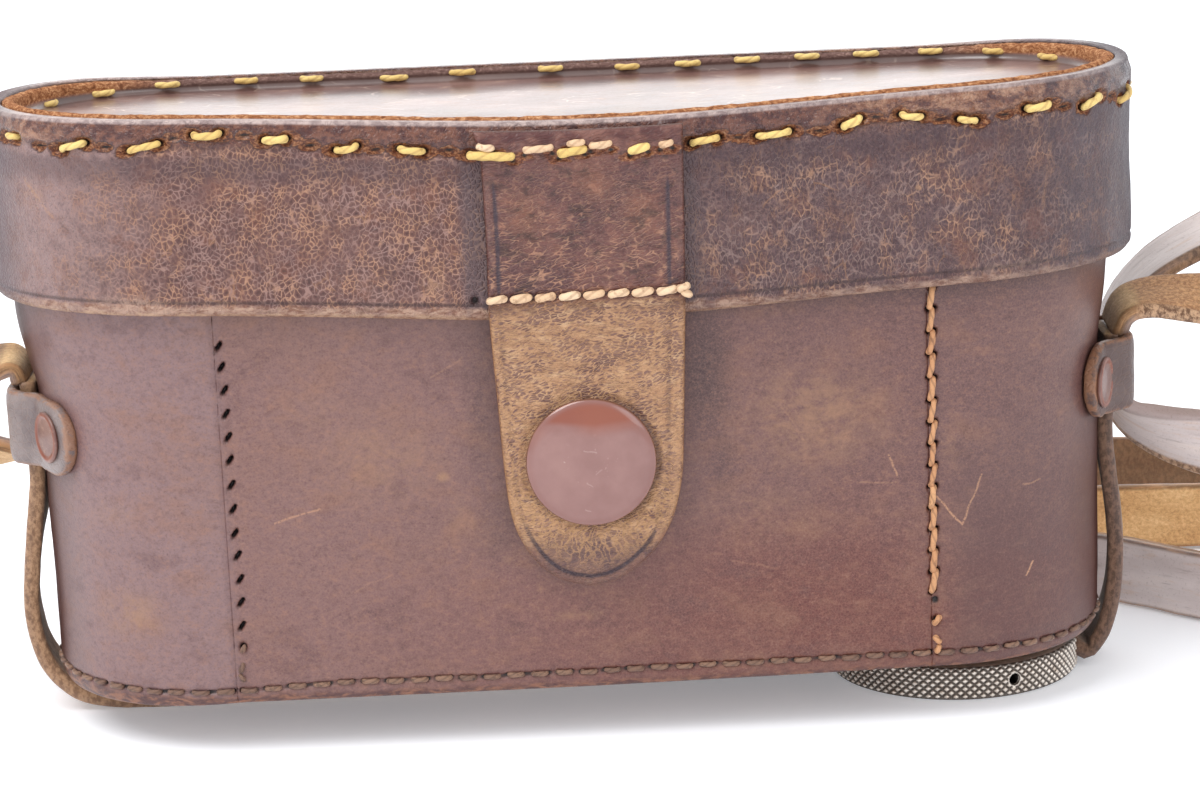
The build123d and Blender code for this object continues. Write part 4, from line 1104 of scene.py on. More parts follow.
def flap_surface(x, z, d):
    """Relief of the flap's outer face at (x, z), d from its edge."""
    q = np.stack([x, np.full(len(x), -30.0), z], -1)
    up = step(57.0, 61.0, z)
    r = 0.14 * fbm(q, (14, 14, 9), 2, 31) + 0.05 * fbm(q, (2.2, 2, 0.9), 3, 32)
    gr = np.exp(-((d - np.where(x > 10, 2.1, 1.45)) / 0.3) ** 2) * step(82, 78, z) if False else np.exp(-((d - np.where(x > 10, 2.1, 1.45)) / 0.3) ** 2)
    gr = gr * (1 - step(74, 79, z)) * (1 - np.exp(-((z - 61.0) / 1.5) ** 2))
    r = r - 0.20 * gr
    rc = np.hypot(x - SNAP[0], z - SNAP[1])
    ang = np.arctan2(z - SNAP[1], x - SNAP[0])
    wr = 0.5 + 0.5 * np.sin(ang * 17 + 3.0 * fbm(q, 5, 2, 33))
    r = r + 0.10 * wr * np.exp(-((rc - 9.8) / 1.6) ** 2) - 0.28 * np.exp(-((rc - 8.7) / 0.6) ** 2)
    r = r - 0.10 * np.exp(-((z - 58.6) / 0.5) ** 2) + 0.12 * np.exp(-((z - 60.3) / 0.8) ** 2)
    # wrinkles where it bends, just under the stitch row
    r = r + 0.06 * np.sin(z * 4.2 + 2.5 * fbm(q, (6, 6, 3), 2, 34)) * np.exp(-((z - 57.0) / 3.0) ** 2)
    return r, gr


rel, gr = flap_surface(P2[:, 0], P2[:, 1], D)
CREAM = [(-9.3 + 3.12 * i, 61.55 + 0.045 * i) for i in range(8)]
ch = near(P2[:, 0], P2[:, 1], [(x - 1.15, z) for x, z in CREAM] + [(x + 1.15, z) for x, z in CREAM] + [(-12.1, 61.3)], 0.38, 0.42)
cream_groove = np.exp(-((P2[:, 1] - np.interp(P2[:, 0], [-10, 16], [61.5, 61.95])) / 0.5) ** 2)
TOP_CREAM = [(-10.9, 81.4, -8.9, 81.2), (-5.0, 80.75, -1.45, 80.95), (0.6, 81.3, 2.6, 81.45), (3.4, 81.0, 6.0, 81.15), (12.2, 80.7, 13.8, 80.9)]
TOP_YELLOW = [(-12.0, 80.35, -6.5, 80.0), (-0.6, 80.15, 2.7, 80.6), (8.4, 80.1, 10.7, 80.55)]
top_ends = [(a, z) for a, z, _, _ in TOP_CREAM + TOP_YELLOW] + [(b, z) for _, _, b, z in TOP_CREAM + TOP_YELLOW]
toph = near(P2[:, 0], P2[:, 1], top_ends, 0.5, 0.4)
q_ = np.stack([P2[:, 0], np.zeros(len(P2)), P2[:, 1]], -1)
ftorn = step(0.34, 0.56, near(P2[:, 0], P2[:, 1], top_ends, 1.5, 0.75) + 0.34 * fbm(q_, (1.5, 1.5, 1.0), 3, 81))
rel = rel - 0.5 * ch - 0.12 * cream_groove - 0.5 * toph - ftorn * (0.16 + 0.12 * fbm(q_, (0.8, 0.8, 0.6), 3, 82))
rr = 0.75
tk = FLAP_T / 2 * np.sqrt(np.clip(1 - (1 - np.clip(D, 0, rr) / rr) ** 2, 0, 1))
kk = np.clip(D / rr, 0, 1)
yo = flap_y(P2[:, 1])
up = step(58, 62, P2[:, 1])
bul = bulge(P2[:, 0])
dzf = rim_dz(P2[:, 0], np.full(len(P2), -28.0)) * step(74, 84, P2[:, 1])
inner_edge = np.zeros((len(zr), nu_), bool)
inner_edge[:, 0] = inner_edge[:, -1] = True
tmin = np.where(inner_edge.ravel(), 0.0, 0.10)
tk = np.maximum(tk, tmin)
front = np.stack([P2[:, 0], yo + FLAP_T / 2 - bul - tk - rel * kk, P2[:, 1] + dzf], -1).reshape(len(zr), nu_, 3)
backf = np.stack([P2[:, 0], yo + FLAP_T / 2 - bul + tk, P2[:, 1] + dzf], -1).reshape(len(zr), nu_, 3)[:, 1:-1][:, ::-1]
ring = np.concatenate([front, backf], 1)
nv = ring.shape[1]
co = ring.reshape(-1, 3)
quads = grid(len(zr), nv, close_v=True)
caps = []
for base, flip in ((0, False), ((len(zr) - 1) * nv, True)):
    f = [base + k for k in range(nu_)]
    b = [f[0]] + [base + nv - 1 - k for k in range(nu_ - 2)] + [f[-1]]
    for k in range(nu_ - 1):
        a = [f[k], f[k + 1], b[k + 1], b[k]]
        a = [v for j, v in enumerate(a) if v not in a[:j]]
        caps.append(a[::-1] if flip else a)
cq = np.array([c for c in caps if len(c) == 4])
ct = np.array([c for c in caps if len(c) == 3])
quads = np.vstack([quads, cq])


def both(a, fill=0.0):
    f = a.reshape(len(zr), nu_)
    return np.concatenate([f, np.full((len(zr), nu_ - 2), fill)], 1).ravel()


flap = make("flap_leather", co, quads, ct, dict(
    edge=both(D, 0.0), groove=both(gr), torn=both(ftorn), hole=both(np.maximum(ch, toph)), face=both(kk), back=1 - both(np.ones(len(D))),
    fold=both(P2[:, 1], 0)), replaces=["flap_root", "closure_flap"], slot="leather_flap")
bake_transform(flap)


def flap_point(x, z, lift):
    x = np.atleast_1d(np.asarray(x, float))
    z = np.broadcast_to(np.asarray(z, float), x.shape)
    r = flap_surface(x, z, np.full(len(x), 5.0))[0]
    return np.stack([x, flap_y(z) - bulge(x) - r - np.asarray(lift), z], -1)


ct_ = Parts()
for i, (x, z) in enumerate(CREAM):
    pts = flap_point([x - 1.2, x - 0.95, x - 0.5, x + 0.1, x + 0.75, x + 1.2], [z - 0.12, z - 0.10, z - 0.02, z + 0.08, z + 0.12, z + 0.1],
                     [-0.5, 0.05, 0.30, 0.34, 0.1, -0.5])
    thread(ct_, pts, 0.52 + rnd.uniform(-0.05, 0.05), (0, -1, 0), seed=i * 1.9, tone=rnd.uniform(0, 1), fat=1.0)
for i, (x, z, dx, dz) in enumerate(((14.6, 62.2, 0.7, 0.35), (15.0, 61.6, 0.45, -0.45))):
    pts = flap_point([x - dx, x - dx / 2, x + dx / 2, x + dx], [z - dz, z, z + dz / 2, z + dz], [-0.2, 0.5, 0.45, -0.2])
    thread(ct_, pts, 0.5, (0, -1, 0), seed=i, tone=0.5)
for group, parts_, rad_ in ((TOP_CREAM, ct_, 0.42), (TOP_YELLOW, rim_t, 0.52)):
    for i, (a, za, b, zb) in enumerate(group):
        m = (a + b) / 2
        pts = flap_point([a + 0.1, a + 0.3, m, b - 0.3, b - 0.1], [za, za, (za + zb) / 2 + rnd.uniform(-0.1, 0.1), zb, zb], [-0.6, 0.05, 0.30, 0.05, -0.6])
        thread(parts_, pts, rad_, (0, -1, 0), seed=i * 1.1, tone=rnd.uniform(0, 1), fat=1.1)
rim_t.done("rim_stitches", body="lid", replaces=["lid_rim_thread"], slot="thread_yellow")
ct_.done("flap_stitches", body="lid", replaces=["flap_thread"], slot="thread_cream")


def lathe(prof, n, centre, axis, up_, jitter=None):
    """Closed turned shape: prof of (radius, height), both ends on the axis."""
    prof = np.asarray(prof, float)
    ax = unit(np.array(axis, float))
    u = unit(np.cross(up_, ax))
    w = np.cross(ax, u)
    inner = prof[1:-1]
    a = np.arange(n) / n * 2 * pi
    R = np.tile(inner[:, 0], n)
    H = np.tile(inner[:, 1], n)
    Aa = np.repeat(a, len(inner))
    if jitter is not None:
        dr, dh = jitter(R, H, Aa)
        R, H = R + dr, H + dh
    c = np.array(centre, float)
    co = c + np.outer(R * np.cos(Aa), u) + np.outer(R * np.sin(Aa), w) + np.outer(H, ax)
    m = len(inner)
    quads = grid(n, m, close_u=True)
    co = np.vstack([co, c + ax * prof[0, 1], c + ax * prof[-1, 1]])
    r0, r1 = np.arange(n) * m, np.arange(n) * m + m - 1
    tris = np.concatenate([fan(r0, n * m)[:, ::-1], fan(r1, n * m + 1)])
    return co, quads, tris, np.concatenate([R, [0, 0]]), np.concatenate([H, [prof[0, 1], prof[-1, 1]]]), np.concatenate([Aa, [0, 0]])


# press-stud cap: thin pressed rim with a domed enamel face
cy = float(flap_y(39.4) - bulge(1.9))
dome = [(0, -0.05), (3, -0.05), (7.9, -0.05), (8.25, 0.0), (8.45, 0.15), (8.52, 0.38), (8.48, 0.6), (8.36, 0.78), (8.18, 0.90), (7.9, 1.06), (7.5, 1.22)]
for r in np.linspace(7.0, 0.4, 24):
    dome.append((r, 1.28 + 0.62 * (1 - (r / 7.3) ** 2.2)))
dome.append((0, 1.90))


def cap_jit(R, H, Aa):
    q = np.stack([R * np.cos(Aa), R * np.sin(Aa), H], -1)
    return 0.0 * R, 0.03 * fbm(q, 5, 2, 71) * (H > 0.5)


co, quads, tris, rr_, hh_, aa_ = lathe(dome, 128, (SNAP[0], cy, SNAP[1] - 0.05), (0, -1, 0), (0, 0, 1), cap_jit)
make("press_cap", co, quads, tris, dict(rad=rr_, high=hh_), body="flap", replaces=["snap_cap"], slot="cap_enamel")

# --------------------------------------------------------------------- knob
KX, KR, KH = 52.5, 17.5, 4.75
prof = [(0, 0.0), (4, 0.02), (9, 0.03), (13, 0.02), (15.5, 0.0), (16.6, 0.0), (16.95, 0.03), (17.2, 0.14), (17.36, 0.28), (17.44, 0.42)]
hs = np.linspace(0.5, KH - 0.5, 40)
prof += [(17.5, h) for h in hs]
prof += [(17.44, KH - 0.42), (17.36, KH - 0.28), (17.2, KH - 0.14), (16.95, KH - 0.03), (16.6, KH), (12, KH), (6.4, KH), (6.3, KH + 0.15), (3.4, KH + 0.15), (0, KH + 0.15)]
HOLES = [math.radians(-68.5), math.radians(111.5)]


def knurl(R, H, Aa):
    """Two families of crossing V grooves cut into the rim."""
    side = (R > 17.3) & (H > 0.25) & (H < KH - 0.25)
    # angle of this vertex in the scene is measured from +X
    pitch = 2 * pi / 86
    hp = 1.12
    lead = H / hp
    a = (Aa / pitch + lead) % 1.0
    b = (Aa / pitch - lead) % 1.0
    ga = np.clip(1 - np.abs(a - 0.5) / 0.5, 0, 1)
    gb = np.clip(1 - np.abs(b - 0.5) / 0.5, 0, 1)
    v = np.minimum(ga, gb)
    q = np.stack([R * np.cos(Aa), R * np.sin(Aa), H], -1)
    dr = np.where(side, -0.40 + 0.46 * np.minimum(v * 1.5, 0.85), 0.0)
    for h in HOLES:
        da = (Aa - h + pi) % (2 * pi) - pi
        dd = np.hypot(da * 17.5, H - KH / 2)
        dr = np.where(side & (dd < 1.05), -0.10, dr)
        dr = np.where(side & (dd < 0.82), -2.2, dr)
    return dr, 0.0 * R


co, quads, tris, rr_, hh_, aa_ = lathe(prof, 1080, (KX, 0, 0), (0, 0, 1), (0, 1, 0), knurl)
# the lathe's own angle 0 lies along cross((0,1,0), axis) = +X
make("knob_metal", co, quads, tris, dict(rad=rr_, high=hh_), body="tripod_screw", replaces=["tripod_knob"], slot="knob_metal")


# -------------------------------------------------------- keepers and rivets
def keeper(side, zc, front_reach, back_reach, tilt, seed, name, node):
    """Leather loop over the strap: path round the end of the body at half its thickness."""
    T = 1.8
    R = BR + 0.06 + T / 2
    cx, cy = BW / 2 - BR, BD / 2 - BR
    def arc(y):
        a = math.asin((y - cy) / R)
        return (cx + R * math.cos(a), y)
    half_b = [(76.55, 0.0), (76.6, 2.5), (76.5, 4.9), (76.0, 6.4), (74.9, 7.5), (73.5, 8.5)]
    def half(reach):
        pts = list(half_b)
        for y in np.arange(9.8, reach - 0.3, 1.1):
            pts.append(arc(y))
        pts.append(arc(reach))
        return pts
    f = [(x, -y) for x, y in half(front_reach)][::-1]
    b = half(back_reach)[1:]
    pts = np.array(f + b)
    P = catmull(np.c_[pts, np.zeros(len(pts))], 6)
    P[:, 0] *= side
    Tn = unit(np.gradient(P, axis=0))
    N = np.cross(Tn, (0, 0, 1)) * 1.0
    # N points away from the case
    N = N * np.sign(N[:, 0] * side)[:, None]
    d = np.concatenate([[0], np.cumsum(np.linalg.norm(np.diff(P, axis=0), axis=1))])
    # half height: full over the strap, rounded off at each end
    ef, eb = d, d[-1] - d
    def tip(e):
        return np.sqrt(np.clip(1 - (1 - np.clip(e / 4.6, 0, 1)) ** 2.2, 0, 1))
    hh = 5.0 * np.minimum(tip(ef + 0.04), tip(eb + 0.04))
    n = len(P)
    sec = strap_section(1.0, T / 2, 0.42, nw=14, nt=2, nr=3)
    m = len(sec)
    q = np.stack([np.repeat(d, m), np.tile(sec[:, 0] * 5.0, n), np.tile(sec[:, 1], n)], -1) + seed * 31
    st = np.repeat((0.62 + 0.38 * np.clip(hh / 2.2, 0, 1))[:, None], m, 1)
    st = st * (1 + 0.07 * fbm(q, (3, 2, 1.5), 3, seed).reshape(n, m))
    P = P + np.c_[np.zeros(n), np.zeros(n), zc + tilt * P[:, 1]]
    edge_w = np.repeat(hh[:, None], m, 1) * (1 + 0.02 * fbm(q, (2, 2, 2), 2, seed + 1).reshape(n, m))
    co, quads, tris = sweep(P, np.tile((0, 0, 1.0), (n, 1)), N, sec, edge_w, st)
    rim = np.concatenate([np.clip(np.abs(np.tile(sec[:, 0], n)) * np.repeat(hh, m) - np.repeat(hh, m) + 1.0, 0, 1), [1, 1]])
    outf = np.concatenate([np.tile(sec[:, 1] / (T / 2), n), [0, 0]])
    make(name, co, quads, tris, dict(rim=rim, side=outf, end=np.concatenate([np.repeat(np.clip(1 - np.minimum(ef, eb) / 1.5, 0, 1), m), [1, 1]])),
         body="case_body", replaces=[node], slot="leather_keeper")


keeper(-1, 41.9, 18.2, 19.6, 0.0, 5, "keeper_loop_left", "keeper_left")
keeper(1, 42.7, 14.9, 15.8, 0.0, 9, "keeper_loop_right", "keeper_right")


def rivets(side, zs, angles, name, node):
    ps = Parts()
    prof_head = [(0, -0.5), (1.2, -0.5), (3.1, -0.30), (3.40, -0.02), (3.50, 0.14), (3.46, 0.30), (3.30, 0.42), (3.05, 0.46), (2.86, 0.42),
                 (2.72, 0.32), (2.5, 0.29), (1.5, 0.34), (0.7, 0.36), (0, 0.37)]
    prof_burr = [(0, -0.55), (0.6, -0.55), (1.9, -0.5), (2.3, -0.35), (2.42, -0.15), (2.4, 0.0), (1.2, 0.35), (0, 0.35)]
    for back, zc, ang in ((-1, zs[0], angles[0]), (1, zs[1], angles[1])):
        a = math.radians(ang)
        nrm = np.array([side * math.cos(a), back * math.sin(a), 0.0])
        cx, cy = side * (BW / 2 - BR), back * (BD / 2 - BR)
        for rad, pf in ((BR + 0.06 + 1.8, prof_head), (BR - WALL - 1.3, prof_burr)):
            c = np.array([cx, cy, zc]) + nrm * rad
            co, qd, tr, rr_, hh_, aa_ = lathe(pf, 40, c, nrm, (0, 0, 1))
            ps.add(co, qd, tr, rad=rr_, high=hh_)
        c = np.array([cx, cy, zc]) + nrm * 20.1
        co, qd, tr, rr_, hh_, aa_ = lathe([(0, 0), (1.1, 0), (1.15, 0.2), (1.15, 5.6), (1.1, 5.8), (0, 5.8)], 24, c, nrm, (0, 0, 1))
        ps.add(co, qd, tr, rad=rr_, high=hh_ * 0)
    ps.done(name, body="case_body", replaces=[node], slot="rivet_metal")


rivets(-1, (42.1, 41.3), (31.0, 31.5), "rivets_left", "keeper_rivets_left")
rivets(1, (42.7, 42.2), (24.5, 26.0), "rivets_right", "keeper_rivets_right")

# --------------------------------------------------------------- strap sling
SLING = [(-74.4, 47.6), (-74.3, 40.0), (-73.9, 33.8), (-75.4, 26.5), (-76.7, 20.0), (-77.1, 13.5), (-75.7, 7.0), (-71.8, 2.5), (-66.0, 1.12),
         (-55, 1.1), (-20, 2.7), (10, 4.4), (33, 5.7), (52, 5.94), (66, 5.7), (69.6, 3.4), (71.4, 1.6), (74.0, 4.8), (75.5, 11.0), (75.7, 19.0),
         (74.6, 27.0), (73.4, 34.5), (74.3, 41.0), (74.4, 47.6)]
sp_ = nurbs([(x, 0.0, z) for x, z in SLING], "sling_route")
dd = np.concatenate([[0], np.cumsum(np.linalg.norm(np.diff(sp_, axis=0), axis=1))])
samp = np.arange(0, dd[-1], 0.8)
sp_ = np.stack([np.interp(np.append(samp, dd[-1]), dd, sp_[:, i]) for i in range(3)], -1)
strap("sling_strap", sp_, [(0, (0, 1, 0)), (2, (0, 1, 0)), (3, (-0.14, 0.99, 0)), (6, (-0.14, 0.99, 0)), (8, (0, 1, 0)), (16, (0, 1, 0)),
                            (18, (0.17, 0.985, 0)), (20, (0.17, 0.985, 0)), (22, (0, 1, 0)), (23, (0, 1, 0))], len(SLING), 8, body="case_body", replaces=["strap_sling"], slot="strap_leather")


# ---------------------------------------------------------------- materials
def xyz(m, p):
    n = m.node("ShaderNodeSeparateXYZ")
    m.put(n.inputs[0], p)
    return n.outputs[0], n.outputs[1], n.outputs[2]


def mul(m, *v):
    out = v[0]
    for k in v[1:]:
        out = m.math("MULTIPLY", out, k)
    return out


def lid_leather(cad=False):
    m = NT("lid leather")
    p = m.rest(cad)
    X, Y, Z = xyz(m, p)
    w = m.warp(p, 5.0, 1.0)
    w2 = m.warp(w, 0.9, 0.20)
    big = m.noise(p, (15, 15, 11), 4, 0.6)
    mid = m.noise(w, (3.0, 3.0, 3.6), 4, 0.6)
    fine = m.noise(p, 0.36, 4, 0.65)
    right = m.band(X, 6, 22)
    farl = m.band(m.math("ADD", X, m.math("MULTIPLY", m.math("SUBTRACT", big, 0.5), 22.0)), -50, -66)
    c = m.ramp(big, [(0.34, tone(124, 92, 87)), (0.52, tone(132, 100, 95)), (0.68, tone(138, 108, 101))])
    cr_ = m.ramp(big, [(0.34, tone(106, 87, 89)), (0.52, tone(114, 94, 96)), (0.68, tone(124, 99, 96))])
    c = m.mix(right, c, cr_)
    c = m.mix(mul(m, farl, 0.90), c, tone(178, 152, 148))
    c = m.mix(mul(m, m.band(mid, 0.48, 0.66), 0.40), c, tone(140, 100, 88))
    c = m.mix(mul(m, m.band(mid, 0.44, 0.30), 0.35), c, tone(104, 84, 87))
    # fine wrinkles: small islands, rounder on the left, drawn out up and down on the right
    cell = m.cells(w2, (0.62, 0.62, 0.74))
    cellr = m.cells(w2, (0.66, 0.66, 1.40))
    tiny = m.cells(m.warp(p, 0.6, 0.1), (0.42, 0.42, 0.5))
    dens = m.band(m.noise(p, (10, 10, 8), 3, 0.6), 0.22, 0.46)
    soft = m.math("SUBTRACT", 1.0, mul(m, farl, 0.75))
    broken = m.band(m.noise(w, (1.8, 1.8, 2.4), 3, 0.6), 0.28, 0.52)
    line = mul(m, m.band(cell, 0.14, 0.02), dens, broken, soft, m.math("SUBTRACT", 1.0, m.math("MULTIPLY", right, 0.75)))
    liner = mul(m, m.band(cellr, 0.115, 0.02), m.band(m.noise(p, (9, 9, 7), 3, 0.6), 0.34, 0.58), broken, soft, right)
    c = m.mix(mul(m, line, 0.86), c, m.mix(m.band(mid, 0.42, 0.6), tone(180, 146, 136), tone(208, 162, 132)))
    c = m.mix(mul(m, liner, 0.85), c, m.mix(m.band(mid, 0.4, 0.6), tone(170, 144, 136), tone(210, 166, 136)))
    c = m.mix(mul(m, m.band(tiny, 0.10, 0.01), soft, 0.20), c, tone(158, 128, 120))
    c = m.mix(mul(m, m.band(cell, 0.20, 0.42), dens, soft, 0.60), c, tone(86, 54, 48))
    patch = m.noise(w, (4.5, 4.5, 4.5), 4, 0.66)
    c = m.mix(mul(m, m.band(patch, 0.52, 0.68), 0.34), c, tone(154, 104, 84))
    c = m.mix(mul(m, m.band(patch, 0.44, 0.30), 0.30), c, tone(92, 70, 72))
    # a few longer cracks
    lon = m.cells(w2, (2.6, 2.6, 7.5))
    c = m.mix(mul(m, m.band(lon, 0.030, 0.006), m.band(m.noise(p, (4, 4, 6), 2), 0.54, 0.66), soft, 0.42), c, tone(196, 148, 112))
    c = m.mix(mul(m, m.band(fine, 0.52, 0.70), 0.34), c, tone(178, 144, 130))
    c = m.mix(mul(m, m.band(fine, 0.48, 0.30), 0.42), c, tone(78, 54, 54))
    # smooth grey strips beside the flap, their darker grey painted shade of the flap's edges
    beside = m.math("MAXIMUM", mul(m, m.band(X, -14.4, -12.6), m.band(X, -9.5, -10.5)), mul(m, m.band(X, 19.0, 15.8), m.band(X, 13, 14)))
    c = m.mix(mul(m, beside, 0.62), c, m.mix(fine, tone(98, 88, 93), tone(118, 106, 109)))
    # scuffs
    pw = m.warp(p, 3.0, 0.5)
    sc = m.segments(pw, [(-70, 78, -66.5, 73.5, 0.55), (31, 72, 36, 69, 0.35), (50.6, 71.5, 49.8, 69, 0.35),
                         (-40, 70, -37.5, 62, 0.25), (63, 78, 61.5, 69, 0.35), (21, 77, 23.5, 73.5, 0.3)], 0.34)
    c = m.mix(mul(m, sc, m.band(fine, 0.38, 0.55)), c, tone(198, 156, 128))
    blot = m.spots(m.warp(p, 1.6, 0.9), [(-17.3, 64.0, 2.4, 3.4, 0.55), (45.2, 73.6, 0.55, 0.6, 0.9), (-69.0, 76.0, 2.2, 2.6, 0.30), (-31, 72, 4, 3, 0.18)])
    c = m.mix(mul(m, blot, m.band(m.noise(w, (0.8, 0.8, 1.6), 4, 0.65), 0.40, 0.58)), c, tone(200, 158, 128))
    # the zone round the stitches and above them, and the lower edge
    ragged = m.noise(w, (1.4, 1.4, 1.0), 4, 0.65)
    wx = m.math("DIVIDE", m.math("SUBTRACT", X, 3.0), 40.0)
    wave = m.math("SUBTRACT", 1.5, m.math("MULTIPLY", m.math("EXPONENT", m.math("MULTIPLY", m.math("MULTIPLY", wx, wx), -1.0)), 2.6))
    Zr = m.math("SUBTRACT", Z, mul(m, wave, m.band(Y, 10, -6)))
    up_to = m.math("SUBTRACT", Zr, m.math("MULTIPLY", m.math("SUBTRACT", ragged, 0.5), 1.6))
    dark = mul(m, m.band(up_to, 75.6, 78.4), m.band(up_to, 80.8, 79.6))
    c = m.mix(mul(m, dark, 0.45), c, tone(96, 80, 84))
    up = m.band(up_to, 80.9, 82.2)
    worn = m.math("MAXIMUM", m.band(X, 28, 44), m.band(X, -60, -74), clamp=True)
    upc = m.mix(m.band(ragged, 0.40, 0.62), tone(96, 62, 56), tone(142, 100, 86))
    upc = m.mix(mul(m, worn, m.band(m.noise(w, (2.2, 2.2, 1.1), 4, 0.65), 0.38, 0.58), 0.80), upc, m.mix(m.band(ragged, 0.4, 0.62), tone(176, 124, 96), tone(222, 176, 144)))
    c = m.mix(mul(m, up, 0.90), c, upc)
    # painted highlight: a light grey line along the top edge of the rim, which is made rougher below
    rim_highlight = m.band(Zr, 84.30, 84.65)
    c = m.mix(mul(m, rim_highlight, 0.85), c, m.mix(m.band(ragged, 0.40, 0.62), tone(184, 164, 160), tone(226, 206, 198)))
    crease = mul(m, m.band(Zr, 60.95, 61.25), m.band(Zr, 61.75, 61.35))
    c = m.mix(mul(m, crease, 0.60), c, tone(82, 62, 62))
    lowr = m.math("SUBTRACT", m.math("ADD", Zr, m.math("MULTIPLY", m.band(X, 10, 30), 0.45)), m.math("MULTIPLY", m.math("SUBTRACT", ragged, 0.5), 1.5))
    strip = m.band(lowr, 61.15, 60.55)
    sc2 = m.mix(m.band(m.noise(w, (1.6, 1.6, 0.6), 4, 0.65), 0.36, 0.60), tone(150, 112, 96), tone(206, 172, 150))
    c = m.mix(mul(m, strip, m.math("ADD", 0.45, m.math("MULTIPLY", m.band(mid, 0.36, 0.56), 0.45))), c, sc2)
    wl = m.spots(m.warp(p, 2.0, 1.4), [(-56.5, 61.6, 7.5, 2.8, 0.8), (-68, 61.2, 7, 1.6, 0.6), (-46, 61.0, 5, 1.6, 0.5), (57, 62.0, 8, 1.8, 0.35)])
    c = m.mix(mul(m, wl, m.band(m.noise(w, (0.9, 0.9, 1.0), 4, 0.65), 0.36, 0.58)), c, tone(210, 176, 156))
    low = m.band(lowr, 60.15, 59.55)
    c = m.mix(mul(m, low, 0.75), c, m.mix(m.band(ragged, 0.35, 0.62), tone(150, 110, 88), tone(214, 178, 148)))
    # grain torn away round the holes
    torn = m.attr("torn")
    fib = m.noise(m.warp(p, 1.5, 0.6), (0.55, 0.55, 0.28), 4, 0.7)
    tc = m.ramp(fib, [(0.32, tone(84, 52, 44)), (0.46, tone(128, 84, 66)), (0.56, tone(176, 124, 92)), (0.70, tone(206, 162, 128))])
    c = m.mix(m.band(torn, 0.25, 0.75), c, tc)
    halo = mul(m, m.band(torn, 0.02, 0.3), m.band(torn, 0.75, 0.35))
    c = m.mix(mul(m, halo, 0.6), c, tone(88, 62, 58))
    # painted shade: the stitch holes and slits drawn near black
    hole = m.attr("hole")
    c = m.mix(m.band(hole, 0.25, 0.85), c, srgb(34, 20, 18))
    inner = m.attr("inner")
    c = m.mix(inner, c, m.ramp(m.noise(p, 1.2, 4), [(0.35, srgb(100, 70, 54)), (0.7, srgb(140, 102, 76))]))
    h = m.math("ADD", m.math("MULTIPLY", fine, 0.5), m.math("MULTIPLY", mul(m, m.band(cell, 0.02, 0.22), dens), 0.8))
    h = m.math("ADD", h, m.math("MULTIPLY", mul(m, m.band(cellr, 0.0, 0.16), right, m.math("SUBTRACT", 1.0, beside)), 0.7))
    h = m.math("ADD", h, m.math("MULTIPLY", mul(m, fib, m.band(torn, 0.25, 0.75)), 2.2))
    rough = m.math("ADD", 0.30, m.math("MULTIPLY", fine, 0.22))
    rough = m.math("ADD", rough, m.math("MULTIPLY", m.band(torn, 0.25, 0.75), 0.35), clamp=True)
    h = m.math("ADD", h, m.math("MULTIPLY", mul(m, m.noise(p, (2.6, 2.6, 1.5), 2, 0.5), up), 7.0))
    rough = m.math("SUBTRACT", rough, m.math("MULTIPLY", up, 0.14), clamp=True)
    rough = m.math("ADD", rough, m.math("MULTIPLY", rim_highlight, 0.35), clamp=True)
    c = m.vmath("MULTIPLY", c, (0.835, 0.825, 0.855))
    calm = m.math("SUBTRACT", 1.0, m.band(torn, 0.02, 0.3))
    # painted reflection: a blue-grey sheen on the turned ends, where the real specular is turned down below
    c = m.mix(mul(m, m.band(X, -69, -75.5), calm, 0.75), c, tone(108, 97, 102))
    c = m.mix(mul(m, m.band(X, 58, 69), calm, 0.35), c, tone(106, 106, 116))
    c = m.mix(mul(m, m.band(X, 70, 75.5), calm, 0.70), c, tone(108, 106, 113))
    c = m.mix(mul(m, right, calm, 0.16), c, tone(84, 72, 78))
    m.set(Base_Color=c, Roughness=rough, Normal=m.bump(h, 0.13, 0.85))
    turned = m.math("SUBTRACT", 1.0, m.math("MULTIPLY", m.math("MAXIMUM", m.band(X, -72.0, -76.5), m.band(X, 72.0, 76.5)), 0.85))
    m.put(m.bsdf.inputs["Specular IOR Level"], m.math("MULTIPLY", turned, 0.42))
    m.put(m.bsdf.inputs["Coat Weight"], m.math("MULTIPLY", turned, m.math("ADD", 0.16, m.math("MULTIPLY", up, 0.30))))
    m.bsdf.inputs["Coat Roughness"].default_value = 0.22
    return m.mat


